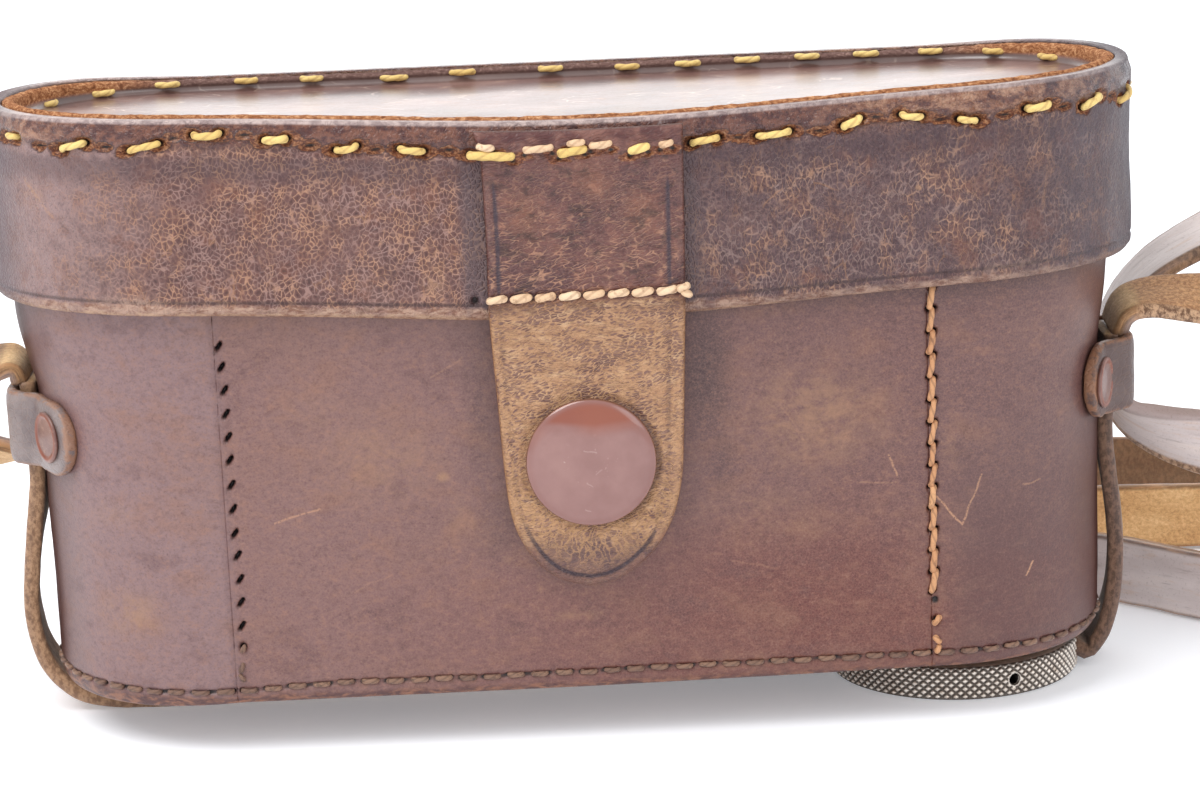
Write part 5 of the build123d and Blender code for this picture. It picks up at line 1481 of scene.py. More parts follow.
def top_leather():
    m = NT("lid top leather")
    p = m.rest()
    X, Y, Z = xyz(m, p)
    fine = m.noise(p, 0.5, 4, 0.6)
    big = m.noise(p, (18, 10, 12), 4, 0.6)
    c = m.ramp(big, [(0.32, srgb(92, 64, 60)), (0.55, srgb(128, 96, 90)), (0.75, srgb(168, 136, 126))])
    scr = m.cells(m.warp(p, 6, 2.5), (9, 2.5, 6))
    c = m.mix(mul(m, m.band(scr, 0.03, 0.006), m.band(m.noise(p, 6), 0.50, 0.64), 0.5), c, srgb(226, 200, 184))
    rub = m.noise(m.warp(p, 3, 1), (3.5, 1.2, 1), 4, 0.65)
    c = m.mix(mul(m, m.band(rub, 0.58, 0.70), 0.45), c, srgb(196, 158, 136))
    rim = m.attr("rim")
    fib = m.noise(m.warp(p, 1.5, 0.7), (0.7, 0.7, 0.32), 5, 0.7)
    rc = m.ramp(fib, [(0.30, srgb(84, 48, 32)), (0.48, srgb(150, 98, 66)), (0.62, srgb(196, 146, 106)), (0.80, srgb(226, 190, 154))])
    grey = m.ramp(fib, [(0.30, srgb(80, 58, 54)), (0.55, srgb(118, 92, 86)), (0.78, srgb(176, 148, 136))])
    rc = m.mix(mul(m, m.band(Y, 6, 16), m.band(m.math("ABSOLUTE", X), 66, 52)), rc, grey)
    c = m.mix(m.band(rim, 0.02, 0.5), c, rc)
    wall_ = mul(m, m.band(Z, 83.9, 83.4), m.band(m.attr("plate"), 0.6, 0.1))
    c = m.mix(mul(m, wall_, 0.7), c, m.mix(m.band(Y, 0, 14), srgb(88, 58, 44), srgb(74, 54, 50)))
    rough = m.math("ADD", 0.24, m.math("MULTIPLY", m.math("ADD", m.math("MULTIPLY", fine, 0.16), m.math("MULTIPLY", rim, 0.45)), 1.0), clamp=True)
    rough = m.math("ADD", rough, m.math("MULTIPLY", m.band(rub, 0.52, 0.68), 0.10), clamp=True)
    h = m.math("ADD", m.math("MULTIPLY", fine, 0.25), m.math("MULTIPLY", mul(m, fib, rim), 2.0))
    dull = m.math("SUBTRACT", 1.0, m.band(rim, 0.02, 0.4))
    rough = m.math("ADD", rough, m.math("MULTIPLY", m.band(rim, 0.02, 0.4), 0.5), clamp=True)
    m.set(Base_Color=c, Roughness=rough, Normal=m.bump(h, 0.10, 0.8))
    m.put(m.bsdf.inputs["Specular IOR Level"], m.math("ADD", 0.08, m.math("MULTIPLY", dull, 0.52)))
    m.put(m.bsdf.inputs["Coat Weight"], m.math("MULTIPLY", dull, 0.66))
    m.bsdf.inputs["Coat Roughness"].default_value = 0.20
    return m.mat


def body_leather(cad=False):
    m = NT("body leather")
    p = m.rest(cad)
    X, Y, Z = xyz(m, p)
    w = m.warp(p, 7.0, 1.6)
    big = m.noise(w, (26, 26, 15), 4, 0.55)
    mid = m.noise(w, (7, 7, 4.0), 4, 0.62)
    fine = m.noise(p, 0.30, 4, 0.7)
    grain = m.cells(m.warp(p, 0.8, 0.1), (0.40, 0.40, 0.40))
    xs = m.math("ADD", X, m.math("MULTIPLY", m.math("SUBTRACT", big, 0.5), 16.0))
    c = m.mix(m.band(xs, -38, 46), tone(152, 121, 116), tone(132, 103, 100))
    c = m.mix(m.band(X, -45.2, -46.6), c, tone(160, 134, 132))
    c = m.mix(mul(m, m.band(X, 46.2, 47.2), 0.8), c, tone(132, 105, 102))
    endx = m.math("SUBTRACT", m.math("ABSOLUTE", X), m.math("MULTIPLY", m.band(Z, 40, 64), 2.0))
    # redder and darker low down
    zz = m.math("ADD", Z, m.math("MULTIPLY", m.math("SUBTRACT", big, 0.5), 16.0))
    c = m.mix(mul(m, m.band(zz, 38, 16), m.band(xs, -50, 30), 0.90), c, m.mix(m.band(X, -30, 40), tone(142, 100, 93), tone(130, 86, 80)))
    c = m.mix(mul(m, m.band(big, 0.50, 0.68), 0.30), c, tone(154, 120, 108))
    c = m.mix(mul(m, m.band(mid, 0.50, 0.70), 0.42), c, tone(164, 124, 104))
    c = m.mix(mul(m, m.band(mid, 0.47, 0.30), 0.40), c, tone(116, 90, 90))
    sm = m.noise(w, (2.0, 2.0, 1.5), 4, 0.68)
    c = m.mix(mul(m, m.band(sm, 0.52, 0.70), 0.30), c, tone(172, 130, 108))
    c = m.mix(mul(m, m.band(sm, 0.50, 0.30), 0.20), c, tone(112, 80, 76))
    c = m.mix(mul(m, m.band(m.noise(w, (3.5, 3.5, 1.1), 4, 0.6), 0.58, 0.72), 0.20), c, tone(164, 128, 112))
    # painted shade: dark bands right under the lid's edge and beside the flap
    c = m.mix(mul(m, m.band(Z, 56.0, 59.6), m.band(X, 8, 20), 0.45), c, tone(104, 86, 87))
    flap_shade = m.spots(m.warp(p, 5.0, 1.6), [(17.5, 50, 5.5, 15, 0.85), (19, 38, 4.0, 8, 0.45), (-12.5, 46, 3.2, 16, 0.35), (-11, 30, 4, 8, 0.3)])
    c = m.mix(flap_shade, c, tone(100, 84, 86))
    # fine speckle
    c = m.mix(mul(m, m.band(fine, 0.52, 0.72), 0.36), c, tone(190, 152, 132))
    c = m.mix(mul(m, m.band(fine, 0.48, 0.28), 0.42), c, tone(92, 62, 56))
    c = m.mix(mul(m, m.band(grain, 0.16, 0.02), 0.18), c, tone(178, 144, 126))
    gr2 = m.noise(m.warp(p, 1.0, 0.4), (0.85, 0.85, 0.55), 4, 0.72)
    c = m.mix(mul(m, m.band(gr2, 0.52, 0.66), 0.26), c, tone(186, 142, 118))
    c = m.mix(mul(m, m.band(gr2, 0.50, 0.34), 0.22), c, tone(88, 60, 56))
    c = m.vmath("MULTIPLY", c, (0.82, 0.80, 0.86))
    c = m.mix(mul(m, m.band(X, 46.3, 52.0), m.band(Z, 46, 24), 0.42), c, tone(104, 90, 91))
    # painted shade: darker towards the ends where the surface turns away
    c = m.mix(mul(m, m.band(endx, 65.0, 71.5), 0.50), c, tone(104, 88, 87))
    c = m.mix(mul(m, m.band(endx, 70.0, 72.0), 0.80), c, tone(90, 74, 72))
    # scratches and stains, placed as on the case
    pw = m.warp(p, 2.5, 0.35)
    scr = m.segments(pw, [(47.4, 31.3, 50.7, 27.3, 0.7), (50.7, 27.3, 53.6, 34.0, 0.55), (59.6, 19.0, 60.6, 20.8, 0.8), (37.0, 33.9, 42.0, 33.6, 0.25),
                          (41.0, 37.3, 42.2, 34.6, 0.55), (59.3, 31.7, 61.7, 31.9, 0.35), (-40.0, 31.8, -34.0, 33.6, 0.5), (20, 24, 26, 22.5, 0.15),
                          (-18.5, 50.6, -14.2, 53.0, 0.2), (-30, 22, -25, 24.2, 0.15), (27, 45, 30, 40, 0.15)], 0.20)
    c = m.mix(mul(m, scr, m.band(fine, 0.34, 0.52)), c, tone(206, 160, 130))
    st = m.spots(pw, [(-17.6, 37.2, 1.5, 1.1, 0.95), (-60.0, 19.0, 7.5, 5.4, 0.60), (31.5, 43.0, 15.0, 11.0, 0.62), (25, 30, 14, 6, 0.30),
                      (-26, 40, 13, 10, 0.42), (-16, 32, 3, 4, 0.35), (-33, 46, 9, 5, 0.22), (-1, 17.4, 6, 1.2, 0.45), (-14, 30.5, 1.0, 1.4, 0.6), (-9.5, 25.5, 1.2, 0.9, 0.6), (-5.5, 21.5, 0.8, 1.0, 0.7), (50, 38, 3, 5, 0.4), (-62, 33, 5, 3, 0.35)])
    c = m.mix(mul(m, st, m.band(m.noise(w, (3.0, 3.0, 2.2), 5, 0.74), 0.34, 0.66), 0.82), c, tone(180, 142, 114))
    # edges, seams and holes
    seam = m.attr("seam")
    c = m.mix(mul(m, m.band(seam, 0.1, 1.0), 0.16), c, tone(104, 78, 74))
    wob = m.math("MULTIPLY", m.math("SUBTRACT", m.noise(w, 2.2, 3), 0.5), 1.4)
    bot = m.band(m.math("ADD", Z, wob), 8.6, 7.4)
    c = m.mix(mul(m, bot, 0.78), c, m.mix(m.band(m.noise(w, (2.0, 2.0, 0.6), 4, 0.65), 0.42, 0.62), tone(90, 64, 62), tone(158, 114, 92)))
    c = m.mix(mul(m, m.band(m.attr("stitch"), 0.2, 0.95), 0.30), c, tone(94, 68, 64))
    # painted shade: holes and empty slots drawn near black
    hole = m.attr("hole")
    c = m.mix(m.band(hole, 0.18, 0.7), c, srgb(24, 12, 14))
    h = m.math("ADD", m.math("MULTIPLY", fine, 0.7), m.math("MULTIPLY", grain, 0.8))
    rough = m.math("ADD", 0.32, m.math("MULTIPLY", fine, 0.18))
    m.set(Base_Color=c, Roughness=rough, Normal=m.bump(h, 0.06, 0.85))
    turned = m.math("SUBTRACT", 1.0, m.math("MULTIPLY", m.band(endx, 67.0, 71.8), 0.80))
    m.put(m.bsdf.inputs["Specular IOR Level"], m.math("MULTIPLY", turned, 0.45))
    m.put(m.bsdf.inputs["Coat Weight"], m.math("MULTIPLY", turned, 0.14))
    m.bsdf.inputs["Coat Roughness"].default_value = 0.24
    return m.mat


def flap_leather():
    m = NT("flap leather")
    p = m.rest()
    X, Y, Z = xyz(m, p)
    w = m.warp(p, 4.0, 0.9)
    w2 = m.warp(w, 0.9, 0.18)
    fine = m.noise(p, 0.34, 4, 0.65)
    mid = m.noise(w, (3.4, 3.4, 2.2), 4, 0.6)
    big = m.noise(p, (8, 8, 6), 4, 0.6)
    # upper half: dark purple-brown, cracked across
    a = m.ramp(big, [(0.34, tone(104, 80, 82)), (0.52, tone(126, 92, 88)), (0.70, tone(150, 108, 98))])
    glow = m.spots(m.warp(p, 3.0, 1.6), [(-5.5, 72, 3.4, 6.0, 0.55), (3.5, 76.0, 4.2, 4.0, 0.55), (9.5, 72, 4.0, 5.0, 0.5)])
    a = m.mix(glow, a, tone(158, 112, 92))
    slant = m.node("ShaderNodeMapping")
    m.put(slant.inputs[0], w2)
    slant.inputs["Rotation"].default_value = (0, math.radians(14), 0)
    sl = slant.outputs[0]
    cr = m.cells(sl, (1.7, 1.4, 0.46))
    cr2 = m.cells(w2, (0.72, 0.72, 0.42))
    downward = m.band(Z, 80.0, 63.5)
    broken = m.band(m.noise(w, (2.2, 2.0, 1.2), 3, 0.6), 0.38, 0.60)
    a = m.mix(mul(m, m.band(cr, 0.10, 0.015), broken, m.math("ADD", 0.22, m.math("MULTIPLY", downward, 0.66))), a, tone(206, 158, 128))
    a = m.mix(mul(m, m.band(cr2, 0.13, 0.02), 0.30), a, tone(164, 128, 116))
    a = m.mix(mul(m, m.band(mid, 0.49, 0.34), 0.60), a, tone(76, 54, 56))
    a = m.mix(mul(m, m.band(mid, 0.54, 0.68), 0.40), a, tone(176, 124, 104))
    a = m.mix(mul(m, m.band(m.noise(w2, (1.6, 1.6, 0.5), 4, 0.66), 0.48, 0.34), 0.35), a, tone(88, 64, 62))
    # lower half: dark islands lying across, golden tan worn between them
    isl = m.cells(sl, (1.05, 0.95, 0.34))
    wear = m.noise(w, (5.0, 5.0, 3.0), 4, 0.6)
    wl = m.spots(m.warp(p, 3.0, 1.5), [(-7.0, 55.5, 4.5, 4.5, 0.9), (-5, 40, 3.0, 8.0, 0.5), (2, 57.0, 14, 2.2, 0.5), (3, 50, 14, 3.0, 0.35), (10, 44, 4, 9, 0.35)])
    thr = m.math("ADD", m.math("MULTIPLY", m.band(wear, 0.34, 0.66), 0.20), m.math("MULTIPLY", wl, 0.22))
    gold = m.band(m.math("SUBTRACT", isl, m.math("ADD", thr, 0.05)), 0.07, -0.05)
    gc = m.ramp(m.noise(w, (3, 3, 1.2), 4, 0.6), [(0.34, tone(182, 142, 112)), (0.55, tone(198, 158, 124)), (0.72, tone(214, 178, 144))])
    ic = m.ramp(mid, [(0.34, tone(122, 96, 92)), (0.55, tone(144, 114, 104)), (0.72, tone(164, 132, 114))])
    dn = m.noise(w2, (0.95, 0.9, 0.24), 3, 0.62)
    b = m.mix(mul(m, gold, 0.88), ic, gc)
    b = m.mix(mul(m, m.band(dn, 0.53, 0.64), 0.50), b, tone(130, 102, 96))
    b = m.mix(mul(m, m.band(dn, 0.46, 0.34), 0.30), b, tone(210, 170, 132))
    a = m.vmath("MULTIPLY", a, (0.80, 0.80, 0.86))
    b = m.vmath("MULTIPLY", b, (1.07, 1.05, 1.04))
    t = m.band(m.math("ADD", Z, m.math("MULTIPLY", m.math("SUBTRACT", mid, 0.5), 1.6)), 61.4, 60.4)
    c = m.mix(t, a, b)
    # the tip has darkened, with wrinkles running out from the stud
    rel = m.vmath("MULTIPLY", m.vmath("SUBTRACT", w2, (1.9, 0.0, 39.4)), (1.0, 0.0, 1.0))
    sx, sy, sz = xyz(m, rel)
    angn = m.node("ShaderNodeMath", operation="ARCTAN2")
    m.put(angn.inputs[0], sz)
    m.put(angn.inputs[1], sx)
    rr = m.vmath("LENGTH", rel)
    cmb = m.node("ShaderNodeCombineXYZ")
    m.put(cmb.inputs[0], m.math("MULTIPLY", angn.outputs[0], 14.0))
    m.put(cmb.inputs[1], m.math("MULTIPLY", rr, 0.55))
    ray = m.cells(m.vmath("ADD", cmb.outputs[0], m.vmath("SCALE", m.vmath("SUBTRACT", m.noisec(p, 1.2), (0.5, 0.5, 0.5)), scale=1.6)), (1.0, 1.0, 1.0))
    near_ = mul(m, m.band(rr, 16.0, 11.0), m.band(rr, 8.2, 9.2), m.band(Z, 40.0, 35.0))
    tipm = m.band(m.math("ADD", Z, m.math("MULTIPLY", m.math("SUBTRACT", big, 0.5), 6.0)), 31.5, 26.5)
    tc = m.mix(m.band(mid, 0.4, 0.62), tone(112, 92, 94), tone(134, 106, 100))
    c = m.mix(mul(m, tipm, 0.85), c, tc)
    c = m.mix(mul(m, near_, m.band(ray, 0.16, 0.03), 0.70), c, tone(198, 156, 118))
    c = m.mix(mul(m, near_, m.band(ray, 0.30, 0.5), 0.25), c, tone(110, 86, 84))
    edge = m.attr("edge")
    e = m.band(edge, 1.5, 0.5)
    ec = m.mix(m.band(Z, 58.0, 62.0), m.mix(tipm, tone(196, 154, 120), tone(140, 106, 98)), tone(130, 102, 98))
    c = m.mix(mul(m, e, m.band(m.noise(w, (1.2, 1.2, 3.0), 3), 0.40, 0.58), 0.65), c, ec)
    # line pressed in along the edge: plain at the tip and above the stitches, faint between
    gr = m.attr("groove")
    where = m.math("MAXIMUM", m.math("MAXIMUM", m.band(Z, 34, 27), m.band(Z, 61.0, 62.5)), mul(m, m.band(X, 11.5, 12.5), m.band(Z, 56, 46), 0.45), clamp=True)
    where = m.math("MAXIMUM", where, 0.12)
    c = m.mix(mul(m, m.band(gr, 0.10, 0.80), where, 0.80), c, tone(84, 78, 86))
    c = m.mix(mul(m, m.band(fine, 0.54, 0.74), 0.22), c, tone(206, 170, 144))
    c = m.mix(mul(m, m.band(fine, 0.46, 0.28), 0.32), c, tone(88, 66, 64))
    # dark shade just under the stitches and round the stud
    c = m.mix(mul(m, m.band(Z, 58.9, 60.2), m.band(Z, 61.2, 60.4), m.band(mid, 0.40, 0.56), 0.55), c, tone(112, 86, 80))
    c = m.mix(mul(m, m.band(rr, 9.6, 8.6), m.band(X, 2.0, 9.0), 0.5), c, tone(96, 78, 80))
    # shiny folded top above the upper stitches
    zr = m.math("ADD", Z, m.math("MULTIPLY", m.math("SUBTRACT", mid, 0.5), 1.6))
    c = m.mix(mul(m, m.band(zr, 80.6, 81.8), 0.80), c, m.mix(m.band(mid, 0.42, 0.62), tone(104, 76, 76), tone(142, 106, 98)))
    c = m.mix(mul(m, m.band(Z, 83.3, 83.8), 0.6), c, tone(150, 116, 104))
    torn = m.attr("torn")
    fib = m.noise(m.warp(p, 1.5, 0.6), (0.55, 0.55, 0.28), 4, 0.7)
    c = m.mix(m.band(torn, 0.25, 0.75), c, m.ramp(fib, [(0.30, tone(88, 58, 52)), (0.48, tone(134, 90, 74)), (0.62, tone(176, 130, 102)), (0.8, tone(204, 164, 134))]))
    # painted shade: the stitch holes drawn near black
    c = m.mix(m.band(m.attr("hole"), 0.3, 0.85), c, srgb(36, 22, 18))
    raw = m.mix(m.band(m.noise(p, (1.0, 1.0, 0.5), 4), 0.4, 0.6), srgb(104, 72, 54), srgb(164, 124, 92))
    c = m.mix(m.attr("back"), c, raw)
    c = m.mix(m.band(edge, 0.16, 0.02), c, m.mix(m.band(Z, 58, 62), tone(172, 128, 96), tone(108, 82, 76)))
    h = m.math("ADD", m.math("MULTIPLY", fine, 0.5), m.math("MULTIPLY", m.band(cr, 0.0, 0.16), 0.6))
    h = m.math("ADD", h, m.math("MULTIPLY", mul(m, m.band(isl, 0.0, 0.25), t), 0.8))
    h = m.math("ADD", h, m.math("MULTIPLY", mid, 0.8))
    rough = m.math("ADD", 0.30, m.math("MULTIPLY", fine, 0.2))
    rough = m.math("ADD", rough, m.math("MULTIPLY", mul(m, gold, t), 0.12), clamp=True)
    m.set(Base_Color=c, Roughness=rough, Normal=m.bump(h, 0.13, 0.9))
    m.bsdf.inputs["Specular IOR Level"].default_value = 0.42
    m.bsdf.inputs["Coat Weight"].default_value = 0.14
    m.bsdf.inputs["Coat Roughness"].default_value = 0.22
    return m.mat


def strap_leather():
    m = NT("strap leather")
    p = m.rest()
    X, Y, Z = xyz(m, p)
    side, across, run = m.attr("side"), m.attr("across"), m.attr("run")
    cmb = m.node("ShaderNodeCombineXYZ")
    m.put(cmb.inputs[0], run)
    m.put(cmb.inputs[1], m.math("MULTIPLY", across, 5.0))
    m.put(cmb.inputs[2], m.math("MULTIPLY", side, 1.1))
    q = cmb.outputs[0]
    fine = m.noise(p, 0.4, 4, 0.7)
    lon = m.noise(q, (7.0, 0.9, 0.8), 4, 0.65)
    big = m.noise(q, (18, 5, 4), 3, 0.6)
    grain = m.ramp(big, [(0.30, srgb(200, 185, 182)), (0.55, srgb(218, 205, 202)), (0.75, srgb(230, 215, 208))])
    grain = m.mix(mul(m, m.band(lon, 0.54, 0.70), 0.4), grain, srgb(206, 172, 146))
    grain = m.mix(mul(m, m.band(lon, 0.44, 0.28), 0.45), grain, srgb(140, 118, 112))
    sling_part = mul(m, m.band(m.math("ABSOLUTE", X), 80.0, 78.0), m.band(Z, 48.5, 47.0), m.band(m.math("ABSOLUTE", Y), 9.5, 8.0))
    fib = m.noise(m.warp(p, 1.2, 0.5), (0.55, 0.55, 0.40), 5, 0.72)
    suede = m.ramp(m.math("ADD", m.math("MULTIPLY", fib, 0.6), m.math("MULTIPLY", big, 0.4)),
                   [(0.34, srgb(176, 130, 86)), (0.48, srgb(214, 172, 120)), (0.60, srgb(236, 200, 148)), (0.72, srgb(246, 220, 176))])
    c = m.mix(m.band(side, 0.55, -0.25), grain, suede)
    edge = m.band(m.math("ABSOLUTE", across), 0.84, 0.97)
    c = m.mix(mul(m, edge, 0.80), c, m.mix(m.band(lon, 0.42, 0.6), srgb(96, 60, 38), srgb(176, 128, 88)))
    fuzz = m.noise(p, (0.7, 0.7, 1.1), 4, 0.7)
    sl_c = m.mix(m.band(X, -20, 20), m.mix(m.band(fuzz, 0.38, 0.62), srgb(126, 92, 68), srgb(176, 138, 106)),
                 m.mix(m.band(fuzz, 0.38, 0.62), srgb(70, 48, 38), srgb(116, 86, 70)))
    c = m.mix(mul(m, sling_part, 0.92), c, sl_c)
    # the two stretches above the right keeper: brown suede, thick fuzzy edges
    near_b = mul(m, m.band(X, 77.0, 79.0), m.band(Y, 8.0, 5.0), m.band(Z, 46.0, 48.0))
    c = m.mix(mul(m, near_b, m.band(X, 118, 84), 0.75), c, m.mix(m.band(fib, 0.40, 0.62), srgb(140, 88, 54), srgb(196, 142, 96)))
    c = m.mix(mul(m, near_b, edge), c, m.mix(m.band(fuzz, 0.40, 0.60), srgb(110, 78, 56), srgb(198, 160, 126)))
    near_a = mul(m, m.band(X, 75.0, 77.5), m.band(Y, 8.0, 11.0), m.band(Z, 46.0, 49.0))
    c = m.mix(mul(m, near_a, edge), c, m.mix(m.band(fuzz, 0.40, 0.62), srgb(66, 46, 34), srgb(134, 104, 80)))
    near_c = mul(m, m.band(X, 75.5, 77.5), m.band(X, 130, 118), mul(m, m.band(Y, 3, 6), m.band(Y, 22, 18), m.band(Z, 45, 42), m.band(Z, 14, 17)))
    c = m.mix(mul(m, near_c, m.band(across, -0.78, -0.90)), c, srgb(176, 158, 154))
    c = m.mix(mul(m, near_c, m.band(across, 0.66, 0.80)), c, m.mix(m.band(fuzz, 0.38, 0.60), srgb(116, 84, 62), srgb(192, 156, 126)))
    left_loop = mul(m, m.band(X, -77.0, -79.0), m.band(Z, 34.0, 37.0))
    c = m.mix(mul(m, left_loop, 0.80), c, m.mix(m.band(fuzz, 0.38, 0.62), srgb(92, 64, 46), srgb(152, 114, 84)))
    # the far bight is darkened: painted shade
    far_bight_shade = mul(m, m.band(Y, 53, 63), m.band(X, 10, 70), m.band(side, 0.3, -0.3))
    c = m.mix(mul(m, far_bight_shade, 0.90), c, m.mix(m.band(fuzz, 0.40, 0.62), srgb(88, 60, 42), srgb(116, 82, 58)))
    c = m.mix(mul(m, m.band(fine, 0.46, 0.28), 0.28), c, srgb(110, 82, 66))
    suede_m = m.band(side, 0.5, -0.2)
    h = m.math("ADD", m.math("MULTIPLY", fine, 0.35), m.math("MULTIPLY", mul(m, fib, m.math("MAXIMUM", suede_m, edge)), 1.2))
    h = m.math("ADD", h, m.math("MULTIPLY", lon, 0.5))
    rough = m.math("ADD", 0.36, m.math("MULTIPLY", suede_m, 0.42), clamp=True)
    m.set(Base_Color=c, Roughness=rough, Normal=m.bump(h, 0.14, 0.9))
    m.bsdf.inputs["Specular IOR Level"].default_value = 0.42
    m.bsdf.inputs["Sheen Weight"].default_value = 0.15
    m.bsdf.inputs["Sheen Roughness"].default_value = 0.5
    return m.mat


def keeper_leather():
    m = NT("keeper leather")
    p = m.rest()
    w = m.warp(p, 2.5, 0.5)
    fine = m.noise(p, 0.4, 4, 0.7)
    big = m.noise(w, 6, 4, 0.6)
    rim, side, end = m.attr("rim"), m.attr("side"), m.attr("end")
    c = m.ramp(big, [(0.30, tone(128, 116, 116)), (0.55, tone(153, 141, 139)), (0.75, tone(176, 162, 158))])
    kx, ky, kz = xyz(m, p)
    c = m.mix(mul(m, m.band(kx, 0, 10), 0.75), c, tone(98, 82, 80))
    cr = m.cells(w, (1.3, 1.3, 1.0))
    c = m.mix(mul(m, m.band(cr, 0.06, 0.01), 0.12), c, tone(186, 150, 126))
    ed = m.math("MAXIMUM", m.band(rim, 0.45, 0.95), m.band(end, 0.1, 0.7))
    c = m.mix(mul(m, ed, m.band(m.noise(p, 1.3, 4), 0.34, 0.52), 0.62), c, tone(178, 132, 104))
    c = m.mix(m.band(side, -0.2, -0.8), c, srgb(130, 92, 68))
    c = m.mix(mul(m, m.band(fine, 0.46, 0.28), 0.35), c, tone(84, 62, 58))
    h = m.math("ADD", m.math("MULTIPLY", fine, 0.5), m.math("MULTIPLY", m.band(cr, 0.0, 0.14), 0.4))
    m.set(Base_Color=c, Roughness=m.math("ADD", 0.32, m.math("MULTIPLY", fine, 0.2)), Normal=m.bump(h, 0.12, 0.85))
    m.bsdf.inputs["Specular IOR Level"].default_value = 0.42
    m.bsdf.inputs["Coat Weight"].default_value = 0.12
    m.bsdf.inputs["Coat Roughness"].default_value = 0.25
    return m.mat


def thread_mat(name, dark, light, shade_and_dirt, dirt=0.5):
    m = NT(name)
    p = m.rest()
    tone_, ply, ends = m.attr("tone"), m.attr("ply"), m.attr("ends")
    fib = m.noise(p, (0.2, 0.2, 0.2), 4, 0.7)
    c = m.mix(m.math("ADD", m.math("MULTIPLY", tone_, 0.5), m.math("MULTIPLY", fib, 0.5)), dark, light)
    # painted shade: darker between the plies and where the thread dives into the leather; then patches of dirt
    c = m.mix(mul(m, m.band(ply, 0.35, 0.0), 0.38), c, shade_and_dirt)
    c = m.mix(mul(m, m.band(ends, 0.30, 0.80), 0.85), c, shade_and_dirt)
    c = m.mix(mul(m, m.band(m.noise(p, 0.9, 3), 0.54, 0.68), dirt), c, shade_and_dirt)
    m.set(Base_Color=c, Roughness=0.5, Normal=m.bump(m.math("ADD", fib, m.math("MULTIPLY", ply, 0.3)), 0.08, 0.9))
    m.bsdf.inputs["Specular IOR Level"].default_value = 0.4
    m.bsdf.inputs["Sheen Weight"].default_value = 0.1
    return m.mat


def enamel():
    m = NT("cap enamel")
    p = m.rest()
    X, Y, Z = xyz(m, p)
    rad, high = m.attr("rad"), m.attr("high")
    big = m.noise(p, 4.5, 4, 0.55)
    fine = m.noise(p, 0.6, 4, 0.65)
    c = m.ramp(big, [(0.34, tone(152, 114, 109)), (0.52, tone(158, 120, 115)), (0.70, tone(164, 126, 120))])
    # painted shading: deeper red where the upper part turns away
    low = m.math("SUBTRACT", Z, m.math("MULTIPLY", m.math("ABSOLUTE", m.math("SUBTRACT", X, 2.6)), 0.10))
    c = m.mix(mul(m, m.band(low, 43.9, 44.9), m.band(rad, 8.3, 7.6), 0.85), c, tone(150, 92, 78))
    c = m.mix(mul(m, m.band(low, 42.6, 44.2), m.band(X, -1.5, 2.5), m.band(rad, 8.3, 7.6), 0.45), c, tone(160, 102, 86))
    c = m.mix(mul(m, m.band(rad, 7.2, 8.1), 0.35), c, tone(146, 100, 92))
    chips = mul(m, m.band(m.noise(p, 0.7, 3, 0.6), 0.64, 0.70), m.band(rad, 5.0, 1.5))
    c = m.mix(mul(m, chips, 0.30), c, tone(206, 176, 164))
    scr = m.segments(m.warp(p, 1.0, 0.25), [(1.0, 41.2, 2.6, 41.0, 0.5), (2.4, 38.0, 3.2, 38.7, 0.35), (1.2, 36.9, 1.9, 36.5, 0.45), (-1.6, 39.9, -1.5, 39.8, 0.8), (0.9, 33.2, 1.6, 33.1, 0.5)], 0.11)
    c = m.mix(m.math("MULTIPLY", scr, 0.55), c, tone(212, 186, 178))
    metal = m.band(rad, 8.30, 8.42)
    c = m.mix(metal, c, m.mix(big, srgb(110, 66, 50), srgb(160, 118, 100)))
    rough = m.math("ADD", 0.17, m.math("MULTIPLY", fine, 0.12))
    h = m.math("ADD", m.math("MULTIPLY", fine, 0.3), m.math("MULTIPLY", chips, -0.4))
    m.set(Base_Color=c, Roughness=rough, Metallic=mul(m, metal, 0.5), Normal=m.bump(h, 0.03, 0.8))
    m.bsdf.inputs["Coat Weight"].default_value = 0.7
    m.bsdf.inputs["Coat Roughness"].default_value = 0.08
    return m.mat


def rivet_mat():
    """A flat disc the colour of the leather, with a redder ring."""
    m = NT("rivet disc")
    p = m.rest()
    rad = m.attr("rad")
    big = m.noise(p, 2.4, 4, 0.6)
    fine = m.noise(p, 0.4, 4, 0.65)
    c = m.ramp(big, [(0.32, tone(124, 94, 90)), (0.70, tone(152, 122, 114))])
    c = m.mix(mul(m, m.band(rad, 2.3, 2.9), m.band(rad, 3.5, 3.1), 0.75), c, tone(150, 92, 76))
    c = m.mix(mul(m, m.band(m.noise(p, 1.0, 4, 0.65), 0.56, 0.68), 0.4), c, tone(188, 156, 140))
    m.set(Base_Color=c, Roughness=m.math("ADD", 0.28, m.math("MULTIPLY", fine, 0.2)), Normal=m.bump(fine, 0.04, 0.8))
    m.bsdf.inputs["Specular IOR Level"].default_value = 0.5
    m.bsdf.inputs["Coat Weight"].default_value = 0.2
    return m.mat


def metal(name, lo, hi, rough, cad=False, spots_c=None, amount=0.35, scale=1.0, metallic=1.0):
    m = NT(name)
    p = m.rest(cad)
    big = m.noise(p, 5.0 * scale, 4, 0.6)
    fine = m.noise(p, 0.5 * scale, 4, 0.65)
    c = m.ramp(big, [(0.32, lo), (0.68, hi)])
    if spots_c is not None:
        c = m.mix(mul(m, m.band(m.noise(p, 1.6 * scale, 4, 0.65), 0.56, 0.68), amount), c, spots_c)
    r = m.math("ADD", rough, m.math("MULTIPLY", m.math("SUBTRACT", fine, 0.4), 0.3), clamp=True)
    m.set(Base_Color=c, Roughness=r, Normal=m.bump(fine, 0.02, 0.7))
    m.bsdf.inputs["Metallic"].default_value = metallic
    return m


